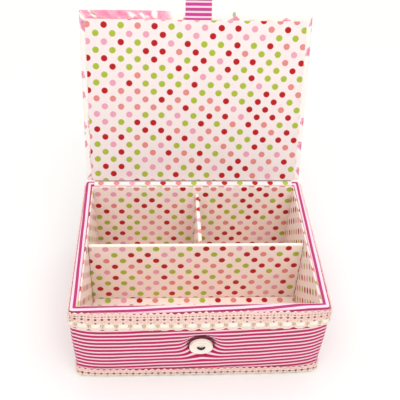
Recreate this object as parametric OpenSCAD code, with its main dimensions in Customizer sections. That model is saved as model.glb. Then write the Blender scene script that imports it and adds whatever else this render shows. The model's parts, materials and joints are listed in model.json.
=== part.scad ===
// Cloth-covered sewing box: a greyboard tray with wadded, striped walls, a dotted
// lining, a T of card dividers, and a wadded lid on a cloth hinge with a buttoning strap.
// Millimetres. X runs to the right, Y to the back, Z up.
// The origin is the centre of the underside that the box stands on.

/* [Box] */
// Outer width at the rim
rim_w = 240; // [200:1:300]
// Outer depth at the rim
rim_d = 184; // [170:1:240]
// Height of the rim
rim_h = 98.5; // [94:0.5:130]

/* [Walls] */
// Thickness of the greyboard in the walls and the lid
board_t = 2.4; // [1.8:0.2:3]
// Thickness of the greyboard in the base
base_board_t = 3.6; // [2:0.2:5]
// Thickness of the striped and flowered cotton
cover_t = 0.6; // [0.4:0.1:0.8]
// Wadding between the board and the cover at the rim
wadding_t = 3; // [2.4:0.2:4]
// Extra swell of the wadding in the middle of the front wall
front_crown = 3; // [2:0.2:4]
// Extra swell of the wadding in the middle of each side wall
side_crown = 2; // [1:0.2:3]
// Corner radius of the cover at the rim
rim_corner_r = 4; // [4:0.5:5]
// Corner radius of the cover at its fullest
belly_corner_r = 10; // [7:0.5:12]
// Depth of the cover's turn-in inside the rim
turn_in_h = 12; // [8:1:20]
// Width of the cover's turn-under beneath the base
turn_under_w = 18; // [12:1:25]

/* [Lining] */
// Thickness of the lining card
card_t = 1.2; // [0.8:0.1:1.6]
// Thickness of the dotted cotton
cloth_t = 0.4; // [0.3:0.1:0.5]
// Distance from the rim down to the top of the lining
lining_drop = 2.2; // [0.5:0.1:3]

/* [Dividers] */
// Height of the dividers' top edge above the table
divider_top = 88; // [60:0.5:90]
// Thickness of the dividers' board
divider_board_t = 3; // [2:0.5:4]
// Thickness of the dividers' cloth on each face
divider_cloth_t = 0.5; // [0.3:0.1:0.8]
// Front face of the long divider, measured from the middle of the box
long_divider_y = 0.2; // [-25:0.1:25]
// Middle of the cross divider, measured from the middle of the box
cross_divider_x = 3.7; // [-40:0.1:40]
// Gap between a divider's end and the wall it meets
divider_gap = 0.2; // [0.1:0.1:0.5]

/* [Lace] */
// Distance from the rim down to the upper lace
upper_lace_drop = 2.5; // [2:0.5:6]
// Width of the upper lace
upper_lace_w = 23.5; // [15:0.5:28]
// Width of the lower lace
lower_lace_w = 12.5; // [8:0.5:18]
// Height of the lower lace's edge above the table
lower_lace_z = 0.3; // [0.2:0.1:1]
// Thickness of the lace
lace_t = 1; // [0.6:0.1:1.2]
// Gap between the cover and the back of the lace
lace_gap = 0.5; // [0.5:0.1:0.7]

/* [Button] */
// Diameter of the button
button_d = 22.5; // [18:0.5:25]
// Height of the button's middle above the table
button_z = 44.7; // [36:0.1:50]
// Sideways place of the button and of the strap
fastening_x = 1.5; // [-10:0.5:10]
// Thickness of the button at its rim
button_t = 3.6; // [3:0.1:4]
// Thickness of the button inside its rim
button_dish_t = 2.9; // [2.2:0.1:3]
// Distance between the button's two holes
hole_pitch = 6.5; // [5:0.5:9]
// Diameter of the sewing thread
thread_d = 1.2; // [0.8:0.1:1.4]
// Diameter of the thread's bars, where its passes lie together
bar_d = 1.4; // [1.4:0.1:1.6]
// Clearance of the thread in its holes, all round
thread_gap = 0.15; // [0.1:0.05:0.2]
// Depth of the dimple that the button pulls into the wadding
tuft_depth = 4.2; // [2:0.1:4.4]

/* [Lid] */
// Angle from closed at which the lid stands open
lid_open = 106.5; // [60:0.5:110]
// Overhang of the lid beyond each side of the rim
lid_side_overhang = 0; // [0:0.5:4]
// Overhang of the lid beyond the front of the rim
lid_overhang = 2.5; // [2.5:0.1:4]
// Wadding on the lid at its edge
lid_edge_wadding = 1.6; // [1:0.1:3]
// Extra swell of the wadding in the middle of the lid
lid_crown = 4.5; // [2:0.5:8]
// Bare margin of the lid beside the lining
lid_side_margin = 5.5; // [4:0.25:10]
// Bare margin of the lid in front of the lining
lid_front_margin = 8; // [4:0.5:12]
// Bare margin of the lid behind the lining
lid_rear_margin = 1.5; // [1:0.1:3]

/* [Hinge] */
// Gap between each end of the dotted hinge strip and the side lining
hinge_strip_gap = 0.8; // [0.5:0.1:20]
// Length of the strip and the flap that is tucked in or glued down
hinge_tuck = 12; // [8:1:20]
// Distance from each side of the rim to the end of the flowered hinge flap
hinge_flap_inset = 20; // [15:1:60]
// Gap between the closed lid and the hinge strip on the rim
lid_gap = 0.4; // [0.3:0.1:0.8]

/* [Strap] */
// Width of the strap
strap_w = 27; // [24:0.5:32]
// Length of the strap beyond the buttonhole
strap_end = 10.4; // [8:0.1:20]
// Corner radius of the strap's end
strap_corner_r = 6; // [2:0.5:10]
// Thickness of the strap
strap_t = 1.2; // [1:0.1:1.2]
// Length of the strap tucked under the lining
strap_tuck_len = 14; // [8:1:20]
// Length of the buttonhole
buttonhole_len = 24; // [22:0.5:28]
// Width of the buttonhole
buttonhole_w = 1.4; // [1:0.1:2]

/* [Hidden] */
$fn = 48;

// The four walls, counted round from the front
FRONT = 0;
RIGHT = 1;
BACK = 2;
LEFT = 3;

// Layers under the box
sheet_t = 0.6;
sheet_inset = 4;
under_z = sheet_t;
base_z = under_z + cover_t;
floor_z = base_z + base_board_t;

// Layers through a wall, as half sizes from the middle of the box: [along X, along Y]
rim_half = [rim_w / 2, rim_d / 2];
board_out = rim_half - (cover_t + wadding_t) * [1, 1];
board_in = board_out - board_t * [1, 1];
lining_back = board_in - cover_t * [1, 1];
lining_t = card_t + cloth_t;
lining_face = lining_back - lining_t * [1, 1];
lining_top = rim_h - lining_drop;
floor_top = floor_z + lining_t;
board_top = rim_h - cover_t;

// Softness of the walls: the cover draws in a little at its top and bottom edges
edge_soft = 0.8;
edge_h = 4;
base_hold = 0.6;
skin_gap = 0.05;

// The dimple round the button is flat under the button and fades out at its reach
tuft_margin = 4;
tuft_fade = 21;
tuft_flat = button_d / 2 + tuft_margin;
tuft_reach = tuft_flat + tuft_fade;
button_gap = 0.15;
button_seat = rim_half.y + front_crown - tuft_depth + button_gap;

// Grid of the wadded walls: points round a half corner, along a wall, and up a wall
corner_steps = 2;
front_steps = 16;
wall_steps = 8;
front_gather = 1.6;
tuft_level = 12;
wall_levels = [
    under_z, under_z + edge_h, button_z - tuft_level, button_z, button_z + tuft_level,
    (button_z + tuft_level + rim_h - edge_h) / 2, rim_h - edge_h, rim_h
];

// The hinge line runs along the top outer edge of the back wall
strip_t = cloth_t;
flap_t = 0.3;
flap_gap = 0.05;
axis_y = rim_half.y + flap_gap + flap_t / 2;
axis_z = rim_h + strip_t + lid_gap;
hinge_strip_w = 2 * (lining_face.x - hinge_strip_gap);
hinge_flap_w = rim_w - 2 * hinge_flap_inset;
flap_bend = 1.6;
flap_margin = 1;
strip_lift = 0.6;

// The lid, in its own frame: s runs from the hinge line to the free edge, n from the lining outwards
lid_len = axis_y + rim_half.y + lid_overhang;
lid_rear_s = 0.1;
lid_w = rim_w + 2 * lid_side_overhang;
lid_half_w = lid_w / 2;
lid_turn_n = lining_t;
lid_board_n = lid_turn_n + cover_t;
lid_pad_n = lid_board_n + board_t;
lid_edge_n = lid_pad_n + lid_edge_wadding + cover_t;
lid_turn_w = 18;
lid_steps_x = 14;
lid_steps_s = 12;
lid_lining_w = lid_w - 2 * lid_side_margin;
lid_lining_s = [lid_rear_margin, lid_len - lid_front_margin];

// The strap folds on a line just past the lid's free edge
strap_n = lining_t - strap_t / 2;
strap_fold_gap = 0.3;
strap_fold_s = lid_len + strap_fold_gap;
buttonhole_at = axis_z + strap_n - button_z;
strap_len = buttonhole_at + buttonhole_len / 2 + strap_end;

// Thread behind the front board lies in a groove
groove_depth = bar_d + thread_gap;

// Shapes made from grids of points

// A closed ring: rows of points that run round the box, joined to each other in a loop.
// From row back on the rows run down again, and their squares are cut on the other diagonal,
// so that the two faces of a skin stay parallel.
module ring_solid(rows, back) {
    n = len(rows[0]);
    m = len(rows);
    polyhedron(
        points = [for (row = rows) for (p = row) p],
        faces = [
            for (j = [0 : m - 1], i = [0 : n - 1])
                let (
                    a = j * n + i,
                    b = j * n + (i + 1) % n,
                    c = (j + 1) % m * n + (i + 1) % n,
                    d = (j + 1) % m * n + i
                )
                each j < back ? [[a, c, b], [a, d, c]] : [[a, d, b], [d, c, b]]
        ],
        convexity = 10
    );
}

// A slab between two grids of points, the outer one given first
module slab_solid(outer, inner) {
    n = len(outer[0]);
    m = len(outer);
    e = n - 1;
    t = m - 1;
    function o(j, i) = j * n + i;
    function q(j, i) = m * n + j * n + i;
    polyhedron(
        points = [for (grid = [outer, inner]) for (row = grid) for (p = row) p],
        faces = [
            for (j = [0 : t - 1], i = [0 : e - 1]) each [
                [o(j, i), o(j + 1, i + 1), o(j, i + 1)], [o(j, i), o(j + 1, i), o(j + 1, i + 1)],
                [q(j, i), q(j, i + 1), q(j + 1, i + 1)], [q(j, i), q(j + 1, i + 1), q(j + 1, i)]
            ],
            for (i = [0 : e - 1]) each [
                [o(0, i), o(0, i + 1), q(0, i + 1)], [o(0, i), q(0, i + 1), q(0, i)],
                [o(t, i + 1), o(t, i), q(t, i)], [o(t, i + 1), q(t, i), q(t, i + 1)]
            ],
            for (j = [0 : t - 1]) each [
                [o(j + 1, 0), o(j, 0), q(j, 0)], [o(j + 1, 0), q(j, 0), q(j + 1, 0)],
                [o(j, e), o(j + 1, e), q(j + 1, e)], [o(j, e), q(j + 1, e), q(j, e)]
            ]
        ],
        convexity = 6
    );
}

// The soft surface of the walls

// Share of the crown that shows at height z: none at the rim, most of it lower down
function height_share(z) = min(1, max(0, (z - under_z) / (rim_h - under_z)));
function swell(z) =
    let (f = height_share(z))
    f < 0.5 ? 1 - base_hold * pow(1 - 2 * f, 3) : 1 - pow(2 * f - 1, 3);
function edge_draw(z) =
    edge_soft * (pow(max(0, 1 - (rim_h - z) / edge_h), 2) + pow(max(0, 1 - (z - under_z) / edge_h), 2));
function crown(k) = k == FRONT ? front_crown : k == BACK ? 0 : side_crown;
function smooth(t) = let (c = min(1, max(0, t))) c * c * (3 - 2 * c);
function tuft(k, x, z) =
    k != FRONT ? 0 :
    let (r = norm([x - fastening_x, z - button_z]))
    tuft_depth * (1 - smooth((r - tuft_flat) / (tuft_reach - tuft_flat)));

// Half length of wall k along itself, and its half distance from the middle of the box
function along_half(k, half) = k % 2 == 0 ? half.x : half.y;
function out_half(k, half) = k % 2 == 0 ? half.y : half.x;

// Places along the straight part of wall k, from -1 to 1; the front ones gather at the button
function flat_places(k) =
    let (n = k == FRONT ? front_steps : wall_steps, g = k == FRONT ? front_gather : 1)
    [for (i = [1 : n - 1]) let (t = 2 * i / n - 1) sign(t) * pow(abs(t), g)];

// One row of wall k at height z, offset outwards from the cover's face: [along, out] pairs
// from the middle of one corner to the middle of the next
function skin_row(k, z, offset) =
    let (
        w = swell(z),
        r = rim_corner_r + (belly_corner_r - rim_corner_r) * w + offset,
        a = along_half(k, rim_half) + offset - edge_draw(z) - r,
        b = out_half(k, rim_half) + offset - edge_draw(z) - r
    )
    [
        for (i = [0 : corner_steps]) let (t = 45 - 45 * i / corner_steps) [-a - r * sin(t), b + r * cos(t)],
        for (p = flat_places(k)) [p * a, b + r + crown(k) * w * (1 - p * p) - tuft(k, p * a, z)],
        for (i = [0 : corner_steps]) let (t = 45 * i / corner_steps) [a + r * sin(t), b + r * cos(t)]
    ];

// The same places along wall k, brought to a straight line at the given half sizes
function straight_row(k, half) =
    let (row = skin_row(k, rim_h, 0), last = row[len(row) - 1][0])
    [for (p = row) [p[0] * along_half(k, half) / last, out_half(k, half)]];

function on_wall(k, p, z) =
    [p[0] * cos(90 * k) + p[1] * sin(90 * k), p[0] * sin(90 * k) - p[1] * cos(90 * k), z];
function wall_row(k, row, z) = [for (p = row) on_wall(k, p, z)];
function round_row(rows, z) = [for (k = [FRONT : LEFT]) for (i = [0 : len(rows[k]) - 2]) on_wall(k, rows[k][i], z)];
function skin_ring(z, offset) = round_row([for (k = [FRONT : LEFT]) skin_row(k, z, offset)], z);
function straight_ring(z, half) = round_row([for (k = [FRONT : LEFT]) straight_row(k, half)], z);

// Levels of what lies inside the cover: the same ones, but clear of its top and bottom folds
inside_levels = [for (z = wall_levels) min(board_top, max(base_z, z))];

// Thread holes through the front wall
module thread_legs(d, from, to) {
    for (side = [-1, 1])
        translate([fastening_x + side * hole_pitch / 2, -from, button_z])
            rotate([-90, 0, 0]) cylinder(d = d, h = from - to);
}

module thread_holes() {
    thread_legs(thread_d + 2 * thread_gap, rim_half.y + front_crown + 1, board_in.y - 1);
}

// Base

module base_sheet() {
    color("wheat")
        translate([-rim_half.x + sheet_inset, -rim_half.y + sheet_inset, 0])
            cube([rim_w - 2 * sheet_inset, rim_d - 2 * sheet_inset, sheet_t]);
}

module base_board() {
    color("tan")
        translate([-board_out.x, -board_out.y, base_z])
            cube([2 * board_out.x, 2 * board_out.y, base_board_t]);
}

// Walls: the front and back boards run the full width, and the side boards stand between them

module cross_board(y) {
    translate([-board_out.x, y, floor_z]) cube([2 * board_out.x, board_t, board_top - floor_z]);
}

module side_board(x) {
    translate([x, -board_in.y, floor_z]) cube([board_t, 2 * board_in.y, board_top - floor_z]);
}

module front_board() {
    groove_w = bar_d + 2 * thread_gap;
    color("tan") difference() {
        cross_board(-board_out.y);
        thread_holes();
        translate([fastening_x - (hole_pitch + groove_w) / 2, -board_in.y - groove_depth, button_z - groove_w / 2])
            cube([hole_pitch + groove_w, groove_depth + 1, groove_w]);
    }
}

module back_board() { color("tan") cross_board(board_in.y); }
module left_board() { color("tan") side_board(-board_out.x); }
module right_board() { color("tan") side_board(board_in.x); }

// Wadding on wall k, mitred at the corners
module wall_wadding(k) {
    slab_solid(
        [for (z = inside_levels) wall_row(k, skin_row(k, z, -cover_t - skin_gap), z)],
        [for (z = inside_levels) wall_row(k, straight_row(k, board_out), z)]
    );
}

module front_wadding() { color("white") difference() { wall_wadding(FRONT); thread_holes(); } }
module back_wadding() { color("white") wall_wadding(BACK); }
module left_wadding() { color("white") wall_wadding(LEFT); }
module right_wadding() { color("white") wall_wadding(RIGHT); }

// Striped cover: up the outside, over the rim into a turn-in, and under the base
module striped_cover() {
    under_half = rim_half - turn_under_w * [1, 1];
    color("hotpink") difference() {
        ring_solid([
            for (z = wall_levels) skin_ring(z, 0),
            straight_ring(rim_h, lining_back),
            straight_ring(rim_h - turn_in_h, lining_back),
            straight_ring(rim_h - turn_in_h, board_in),
            straight_ring(board_top, board_in),
            for (j = [len(inside_levels) - 1 : -1 : 0]) skin_ring(inside_levels[j], -cover_t),
            straight_ring(base_z, under_half),
            straight_ring(under_z, under_half)
        ], len(wall_levels) + 4);
        thread_holes();
    }
}

// Lace bands round the top and the bottom of the walls
module lace_band(low, high) {
    levels = [low, (low + high) / 2, high];
    ring_solid([
        for (z = levels) skin_ring(z, lace_gap + lace_t),
        for (j = [len(levels) - 1 : -1 : 0]) skin_ring(levels[j], lace_gap)
    ], len(levels));
}

module upper_lace() {
    high = rim_h - upper_lace_drop;
    color("mistyrose") lace_band(high - upper_lace_w, high);
}

module lower_lace() { color("mistyrose") lace_band(lower_lace_z, lower_lace_z + lower_lace_w); }

// Lining panels: a card, and a cloth that wraps its face and edges. The face lies at local z = 0.

module panel_card(w, h) {
    translate([cloth_t, cloth_t, cloth_t]) cube([w - 2 * cloth_t, h - 2 * cloth_t, card_t]);
}

module panel_cloth(w, h) {
    difference() {
        cube([w, h, lining_t]);
        translate([cloth_t, cloth_t, cloth_t]) cube([w - 2 * cloth_t, h - 2 * cloth_t, lining_t]);
    }
}

// A lining panel on wall k; the side panels stand between the front and back ones
function panel_w(k) = k % 2 == 0 ? 2 * lining_back.x : 2 * lining_face.y;
panel_h = lining_top - floor_z;

module on_wall_inside(k) {
    rotate([0, 0, 90 * k])
        translate([-panel_w(k) / 2, -out_half(k, lining_face), floor_z]) rotate([90, 0, 0]) children();
}

module wall_card(k) { color("tan") on_wall_inside(k) panel_card(panel_w(k), panel_h); }
module wall_cloth(k) { color("seashell") on_wall_inside(k) panel_cloth(panel_w(k), panel_h); }

module on_floor() {
    translate([-lining_face.x, -lining_face.y, floor_top]) mirror([0, 0, 1]) children();
}

module floor_lining_card() { color("tan") on_floor() panel_card(2 * lining_face.x, 2 * lining_face.y); }
module floor_lining_cloth() { color("seashell") on_floor() panel_cloth(2 * lining_face.x, 2 * lining_face.y); }

// Dividers: a board in a cloth sleeve that is open at the ends and below

divider_t = divider_board_t + 2 * divider_cloth_t;
divider_h = divider_top - floor_top;

module divider_board(length) {
    translate([0, divider_cloth_t, 0]) cube([length, divider_board_t, divider_h - divider_cloth_t]);
}

module divider_cloth(length) {
    difference() {
        cube([length, divider_t, divider_h]);
        translate([-1, divider_cloth_t, -1])
            cube([length + 2, divider_board_t, divider_h - divider_cloth_t + 1]);
    }
}

long_divider_len = 2 * (lining_face.x - divider_gap);
cross_divider_len = lining_face.y - long_divider_y - divider_t - divider_gap;

module at_long_divider() {
    translate([-long_divider_len / 2, long_divider_y, floor_top]) children();
}

module at_cross_divider() {
    translate([cross_divider_x + divider_t / 2, long_divider_y + divider_t, floor_top])
        rotate([0, 0, 90]) children();
}

module long_divider_board() { color("tan") at_long_divider() divider_board(long_divider_len); }
module long_divider_cloth() { color("seashell") at_long_divider() divider_cloth(long_divider_len); }
module cross_divider_board() { color("tan") at_cross_divider() divider_board(cross_divider_len); }
module cross_divider_cloth() { color("seashell") at_cross_divider() divider_cloth(cross_divider_len); }

// Button and its thread

module front_button() {
    r = button_d / 2;
    lip = 1.4;
    color("ivory") difference() {
        translate([fastening_x, -button_seat, button_z]) rotate([90, 0, 0])
            rotate_extrude()
                polygon([
                    [0, 0], [r - lip, 0], [r, lip], [r, button_t - lip / 2], [r - lip / 2, button_t],
                    [r - 2 * lip, button_t], [r - 3 * lip, button_dish_t], [0, button_dish_t]
                ]);
        thread_legs(thread_d + 2 * thread_gap, button_seat + button_t + 1, button_seat - 1);
    }
}

// One loop of thread: a bar across the button, two legs through the wall, a bar behind the board
module button_thread() {
    front = button_seat + button_dish_t + bar_d / 2;
    back = board_in.y + bar_d / 2;
    color("black") {
        thread_legs(thread_d, front, back);
        for (y = [front, back])
            translate([fastening_x - (hole_pitch + bar_d) / 2, -y, button_z])
                rotate([0, 90, 0]) cylinder(d = bar_d, h = hole_pitch + bar_d);
    }
}

// Lid, drawn closed with the hinge line at the origin, then turned open

module on_lid() {
    translate([0, axis_y, axis_z]) rotate([-lid_open, 0, 0]) children();
}

// A point of the lid's side view, given as s and n, in the box's Y and Z
function lid_yz(s, n) = [
    axis_y - s * cos(lid_open) + n * sin(lid_open),
    axis_z + s * sin(lid_open) + n * cos(lid_open)
];

module lid_block(half_w, s, n) {
    translate([-half_w, -s[1], n[0]]) cube([2 * half_w, s[1] - s[0], n[1] - n[0]]);
}

// Places across the lid, from -1 to 1, closer together towards the edges
function lid_places(steps) = [for (i = [0 : steps]) sin(90 * (2 * i / steps - 1))];
function lid_top(px, ps) = lid_edge_n + lid_crown * (1 - pow(px, 4)) * (1 - pow(ps, 4));

// The crowned slab of the lid, from height low up to its top face, drawn in all round by inset
module lid_slab(low, inset) {
    half_len = (lid_len - lid_rear_s) / 2;
    mid = -(lid_len + lid_rear_s) / 2;
    grid = [
        for (ps = lid_places(lid_steps_s)) [
            for (px = lid_places(lid_steps_x))
                [px * (lid_half_w - inset), mid + ps * (half_len - inset), lid_top(px, ps) - inset]
        ]
    ];
    slab_solid(grid, [for (row = grid) [for (p = row) [p.x, p.y, low]]]);
}

module lid_board() {
    color("tan") on_lid()
        lid_block(lid_half_w - cover_t, [lid_rear_s + cover_t, lid_len - cover_t], [lid_board_n, lid_pad_n]);
}

module lid_wadding() { color("white") on_lid() lid_slab(lid_pad_n, cover_t + skin_gap); }

// Flowered cover: over the wadding, round the edges and under the board as a turn-in
module lid_cover() {
    color("lightpink") on_lid() difference() {
        lid_slab(lid_turn_n, 0);
        lid_slab(lid_board_n, cover_t);
        lid_block(lid_half_w - lid_turn_w, [lid_turn_w, lid_len - lid_turn_w], [lid_turn_n - 1, lid_board_n + 1]);
    }
}

// The lining card has a rebate for the hinge strip and a notch for the strap's end

module at_lid_lining() {
    translate([-lid_lining_w / 2, -lid_lining_s[1], 0]) children();
}

module lid_lining_room() {
    lid_block(hinge_strip_w / 2, [0, lid_rear_margin + hinge_tuck], [lining_t - strip_t, lining_t + 1]);
    translate([fastening_x, 0, 0])
        lid_block(strap_w / 2, [lid_lining_s[1] - strap_tuck_len, lid_len], [lining_t - strap_t, lining_t + 1]);
}

module lid_lining_card() {
    color("tan") on_lid() difference() {
        at_lid_lining() panel_card(lid_lining_w, lid_lining_s[1] - lid_lining_s[0]);
        lid_lining_room();
    }
}

module lid_lining_cloth() {
    color("seashell") on_lid() difference() {
        at_lid_lining() panel_cloth(lid_lining_w, lid_lining_s[1] - lid_lining_s[0]);
        lid_lining_room();
    }
}

// Cloth hinge

// A strip of cloth along X, from its side view: points down one face and back up the other
module cloth_strip(width, side_view) {
    translate([-width / 2, 0, 0])
        rotate([90, 0, 90]) linear_extrude(width) polygon(side_view);
}

// Dotted strip: over the top of the back wall, across the hinge line and in under the lid's lining
module hinge_lining_strip() {
    inner_y = lining_face.y;
    outer_y = rim_half.y - edge_soft;
    top_n = lining_t;
    low_n = lining_t - strip_t;
    start_s = lid_rear_s + strip_lift;
    end_s = lid_rear_margin + hinge_tuck;
    color("seashell") cloth_strip(hinge_strip_w, [
        [inner_y, rim_h], [outer_y, rim_h], lid_yz(start_s, top_n), lid_yz(end_s, top_n),
        lid_yz(end_s, low_n), lid_yz(start_s, low_n), [outer_y, rim_h + strip_t], [inner_y, rim_h + strip_t]
    ]);
}

// Flowered flap: from the outside of the back wall, behind the lace, to the rear edge of the lid
module rear_hinge_flap() {
    face_y = rim_half.y + flap_gap;
    low_z = rim_h - edge_h - hinge_tuck;
    bend_z = rim_h - flap_bend;
    face_s = lid_rear_s - flap_gap;
    start_n = lid_turn_n + flap_margin;
    end_n = lid_edge_n - flap_margin;
    color("lightpink") cloth_strip(hinge_flap_w, [
        [face_y, low_z], [face_y + flap_t, low_z], [face_y + flap_t, bend_z],
        lid_yz(face_s - flap_t, start_n), lid_yz(face_s - flap_t, end_n), lid_yz(face_s, end_n),
        lid_yz(face_s, start_n), [face_y, bend_z + flap_t]
    ]);
}

// Strap: one end is tucked under the lid's lining, and the rest folds at the lid's free edge

module strap_tuck() {
    end = strap_fold_s - strap_t / 2 - strap_fold_gap;
    color("hotpink") on_lid() translate([fastening_x, 0, 0])
        lid_block(strap_w / 2, [lid_lining_s[1] - strap_tuck_len, end], [lining_t - strap_t, lining_t]);
}

module strap_outline() {
    r = strap_corner_r;
    translate([-strap_w / 2, -strap_len + r]) square([strap_w, strap_len - r]);
    translate([-strap_w / 2 + r, -strap_len]) square([strap_w - 2 * r, strap_len]);
    for (side = [-1, 1])
        translate([side * (strap_w / 2 - r), -strap_len + r]) circle(r);
}

module closing_strap() {
    color("hotpink") on_lid() translate([fastening_x, -strap_fold_s, strap_n]) {
        translate([-strap_w / 2, 0, 0]) rotate([0, 90, 0]) cylinder(d = strap_t, h = strap_w);
        translate([0, 0, -strap_t / 2]) linear_extrude(strap_t) difference() {
            strap_outline();
            translate([-buttonhole_w / 2, -buttonhole_at - buttonhole_len / 2])
                square([buttonhole_w, buttonhole_len]);
        }
    }
}

base_sheet();
base_board();
front_board();
back_board();
left_board();
right_board();
front_wadding();
back_wadding();
left_wadding();
right_wadding();
striped_cover();
upper_lace();
lower_lace();
floor_lining_card();
floor_lining_cloth();
wall_card(FRONT);  // front_lining_card
wall_cloth(FRONT);  // front_lining_cloth
wall_card(BACK);  // back_lining_card
wall_cloth(BACK);  // back_lining_cloth
wall_card(LEFT);  // left_lining_card
wall_cloth(LEFT);  // left_lining_cloth
wall_card(RIGHT);  // right_lining_card
wall_cloth(RIGHT);  // right_lining_cloth
long_divider_board();
long_divider_cloth();
cross_divider_board();
cross_divider_cloth();
front_button();
button_thread();
hinge_lining_strip();
rear_hinge_flap();
lid_board();
lid_wadding();
lid_cover();
lid_lining_card();
lid_lining_cloth();
strap_tuck();
closing_strap();
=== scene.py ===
"""Sewing box: cotton covers, lace, dotted linings, padded lid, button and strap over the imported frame."""

import json
import math

import bmesh
import bpy
import numpy as np
from bpy.props import FloatProperty, FloatVectorProperty, PointerProperty
from mathutils import Matrix, Vector


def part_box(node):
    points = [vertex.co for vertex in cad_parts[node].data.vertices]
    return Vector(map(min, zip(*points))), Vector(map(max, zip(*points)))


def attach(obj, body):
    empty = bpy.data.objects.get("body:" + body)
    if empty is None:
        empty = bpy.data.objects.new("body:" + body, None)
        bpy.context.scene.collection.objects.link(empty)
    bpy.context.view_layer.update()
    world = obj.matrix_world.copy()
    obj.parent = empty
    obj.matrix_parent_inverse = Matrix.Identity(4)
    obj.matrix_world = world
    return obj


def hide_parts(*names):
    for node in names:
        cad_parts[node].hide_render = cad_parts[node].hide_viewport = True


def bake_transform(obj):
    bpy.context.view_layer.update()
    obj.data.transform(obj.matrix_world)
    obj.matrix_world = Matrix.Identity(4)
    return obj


bl_info = {
    "name": "Padded sewing box",
    "version": (1, 0, 0),
    "blender": (4, 5, 0),
    "location": "3D View > Sidebar > Sewing box",
    "description": "Dresses the packed sewing box in cotton, lace, linings, a button and a strap",
    "category": "Object",
}

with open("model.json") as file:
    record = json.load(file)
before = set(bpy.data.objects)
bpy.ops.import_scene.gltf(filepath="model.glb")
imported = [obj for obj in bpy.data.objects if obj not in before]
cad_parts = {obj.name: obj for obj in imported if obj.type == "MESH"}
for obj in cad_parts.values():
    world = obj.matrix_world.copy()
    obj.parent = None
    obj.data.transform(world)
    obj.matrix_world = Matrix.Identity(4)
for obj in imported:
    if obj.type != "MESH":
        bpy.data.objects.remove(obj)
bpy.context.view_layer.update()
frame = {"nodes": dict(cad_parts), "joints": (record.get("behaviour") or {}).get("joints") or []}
MM = 0.001
DOT_REPEAT = 17.3  # one repeat of the dotted cotton, in millimetres
DOT_RADIUS = 3.35
# the dark line along this crease is painted shade in the strip's cotton
HINGE_CREASE = 107.8  # flat place of the crease in the strip over the hinge
RIM_TURN = 84.0  # flat height from which the stripes are those of the rim
HALF_STRIPE = 0.292  # half the width of a dark stripe, as a share of the repeat
STRAP_STRIPE = 0.935  # repeat of the strap's stripes against the cover's
LACE_FIRST = 1.625  # where a figure of the lace has its block, and its first hole and bump
CLOTH = "cloth"  # the UV map that holds a cloth's own flat place, in millimetres
LID_JOINT = next(j for j in frame["joints"] if j["name"] == "lid_hinge")
FOLD_JOINT = next(j for j in frame["joints"] if j["name"] == "strap_fold")


# Sizes and colours


def srgb(red, green, blue):
    """A colour from 0 to 255 as linear red, green, blue and alpha."""
    shares = [part / 255 for part in (red, green, blue)]
    linear = [s / 12.92 if s <= 0.04045 else ((s + 0.055) / 1.055) ** 2.4 for s in shares]
    return (*linear, 1.0)


def size(name, millimetres, description):
    """A length in the sidebar, given in millimetres."""
    return FloatProperty(
        name=name, description=description, default=millimetres * MM, unit="LENGTH", precision=4
    )


def share(name, default, description):
    """A plain number in the sidebar."""
    return FloatProperty(name=name, description=description, default=default, subtype="FACTOR")


def angle(name, degrees, description):
    """An angle in the sidebar, given in degrees."""
    return FloatProperty(
        name=name, description=description, default=math.radians(degrees), subtype="ANGLE"
    )


def colour(name, red, green, blue, description):
    """A colour in the sidebar, given from 0 to 255."""
    return FloatVectorProperty(
        name=name,
        description=description,
        default=srgb(red, green, blue),
        subtype="COLOR",
        size=4,
        min=0,
        max=1,
    )


class WallSizes(bpy.types.PropertyGroup):
    """Sizes of the padded walls and what is sewn to them."""

    rim_width: size("Rim width", 240, "Outside width of the walls at the rim")
    rim_depth: size("Rim depth", 184, "Outside depth of the walls at the rim")
    rim_height: size("Rim height", 98.5, "Height of the rim over the ground")
    foot: size("Foot", 0.6, "Height of the cover's lower edge, on the base sheet")
    foot_round: size("Foot round", 3.0, "Radius of the cover's turn under the base")
    front_swell: size("Front swell", 3, "How far the front padding stands out halfway up")
    side_swell: size("Side swell", 2, "How far the side padding stands out halfway up")
    rim_corner: size("Rim corner", 3, "Corner radius at the rim")
    belly_corner: size("Belly corner", 4.5, "Corner radius halfway up")
    plump: size("Plump corners", 2.4, "How far the side padding stands out at the corners, high up")
    shoulder: size("Shoulder", 2, "How far the front corners lie behind the rim")
    cotton: size("Cotton", 0.6, "Thickness of the cover cotton")
    lining_back: size("Lining stack", 6.6, "From the outside of the rim to the back of the lining")
    turn_in: size("Turn-in", 12, "Cover cotton turned down inside the wall")
    turn_under: size("Turn-under", 18, "Cover cotton turned under the base")
    board_face: size("Board face", 3.6, "From the outside of the rim to the wall board")
    tuft_depth: size("Tuft depth", 5.8, "How far the button pulls the front in")
    tuft_flat: size("Tuft flat", 12.8, "Radius of the flat under the button")
    tuft_reach: size("Tuft reach", 33, "Radius at which the pull has faded")
    tuft_lift: size("Tuft lift", 1.2, "How far the pull's middle lies over the button's")
    stripe: size("Stripe repeat", 5.4, "One dark and one pale stripe")
    upper_lace_foot: size("Upper lace foot", 72.4, "Height of the upper lace's lower edge")
    upper_lace: size("Upper lace", 23.3, "Width of the upper lace")
    lower_lace_foot: size("Lower lace foot", 0.7, "Height of the lower lace's lower edge")
    lower_lace: size("Lower lace", 12.6, "Width of the lower lace")
    lace_repeat: size("Lace repeat", 13, "One figure of the lace as it is drawn")
    lace_pitch: size("Lace pitch", 12.05, "One figure of the lace as it is sewn on")
    lace_gap: size("Lace gap", 0.5, "Space between the cover and the lace")
    lace_cord: size("Lace thickness", 0.8, "Thickness of the lace's ground")
    lace_rise: size("Lace rise", 1.6, "How far the upper lace stands up at the front and sides")


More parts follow.
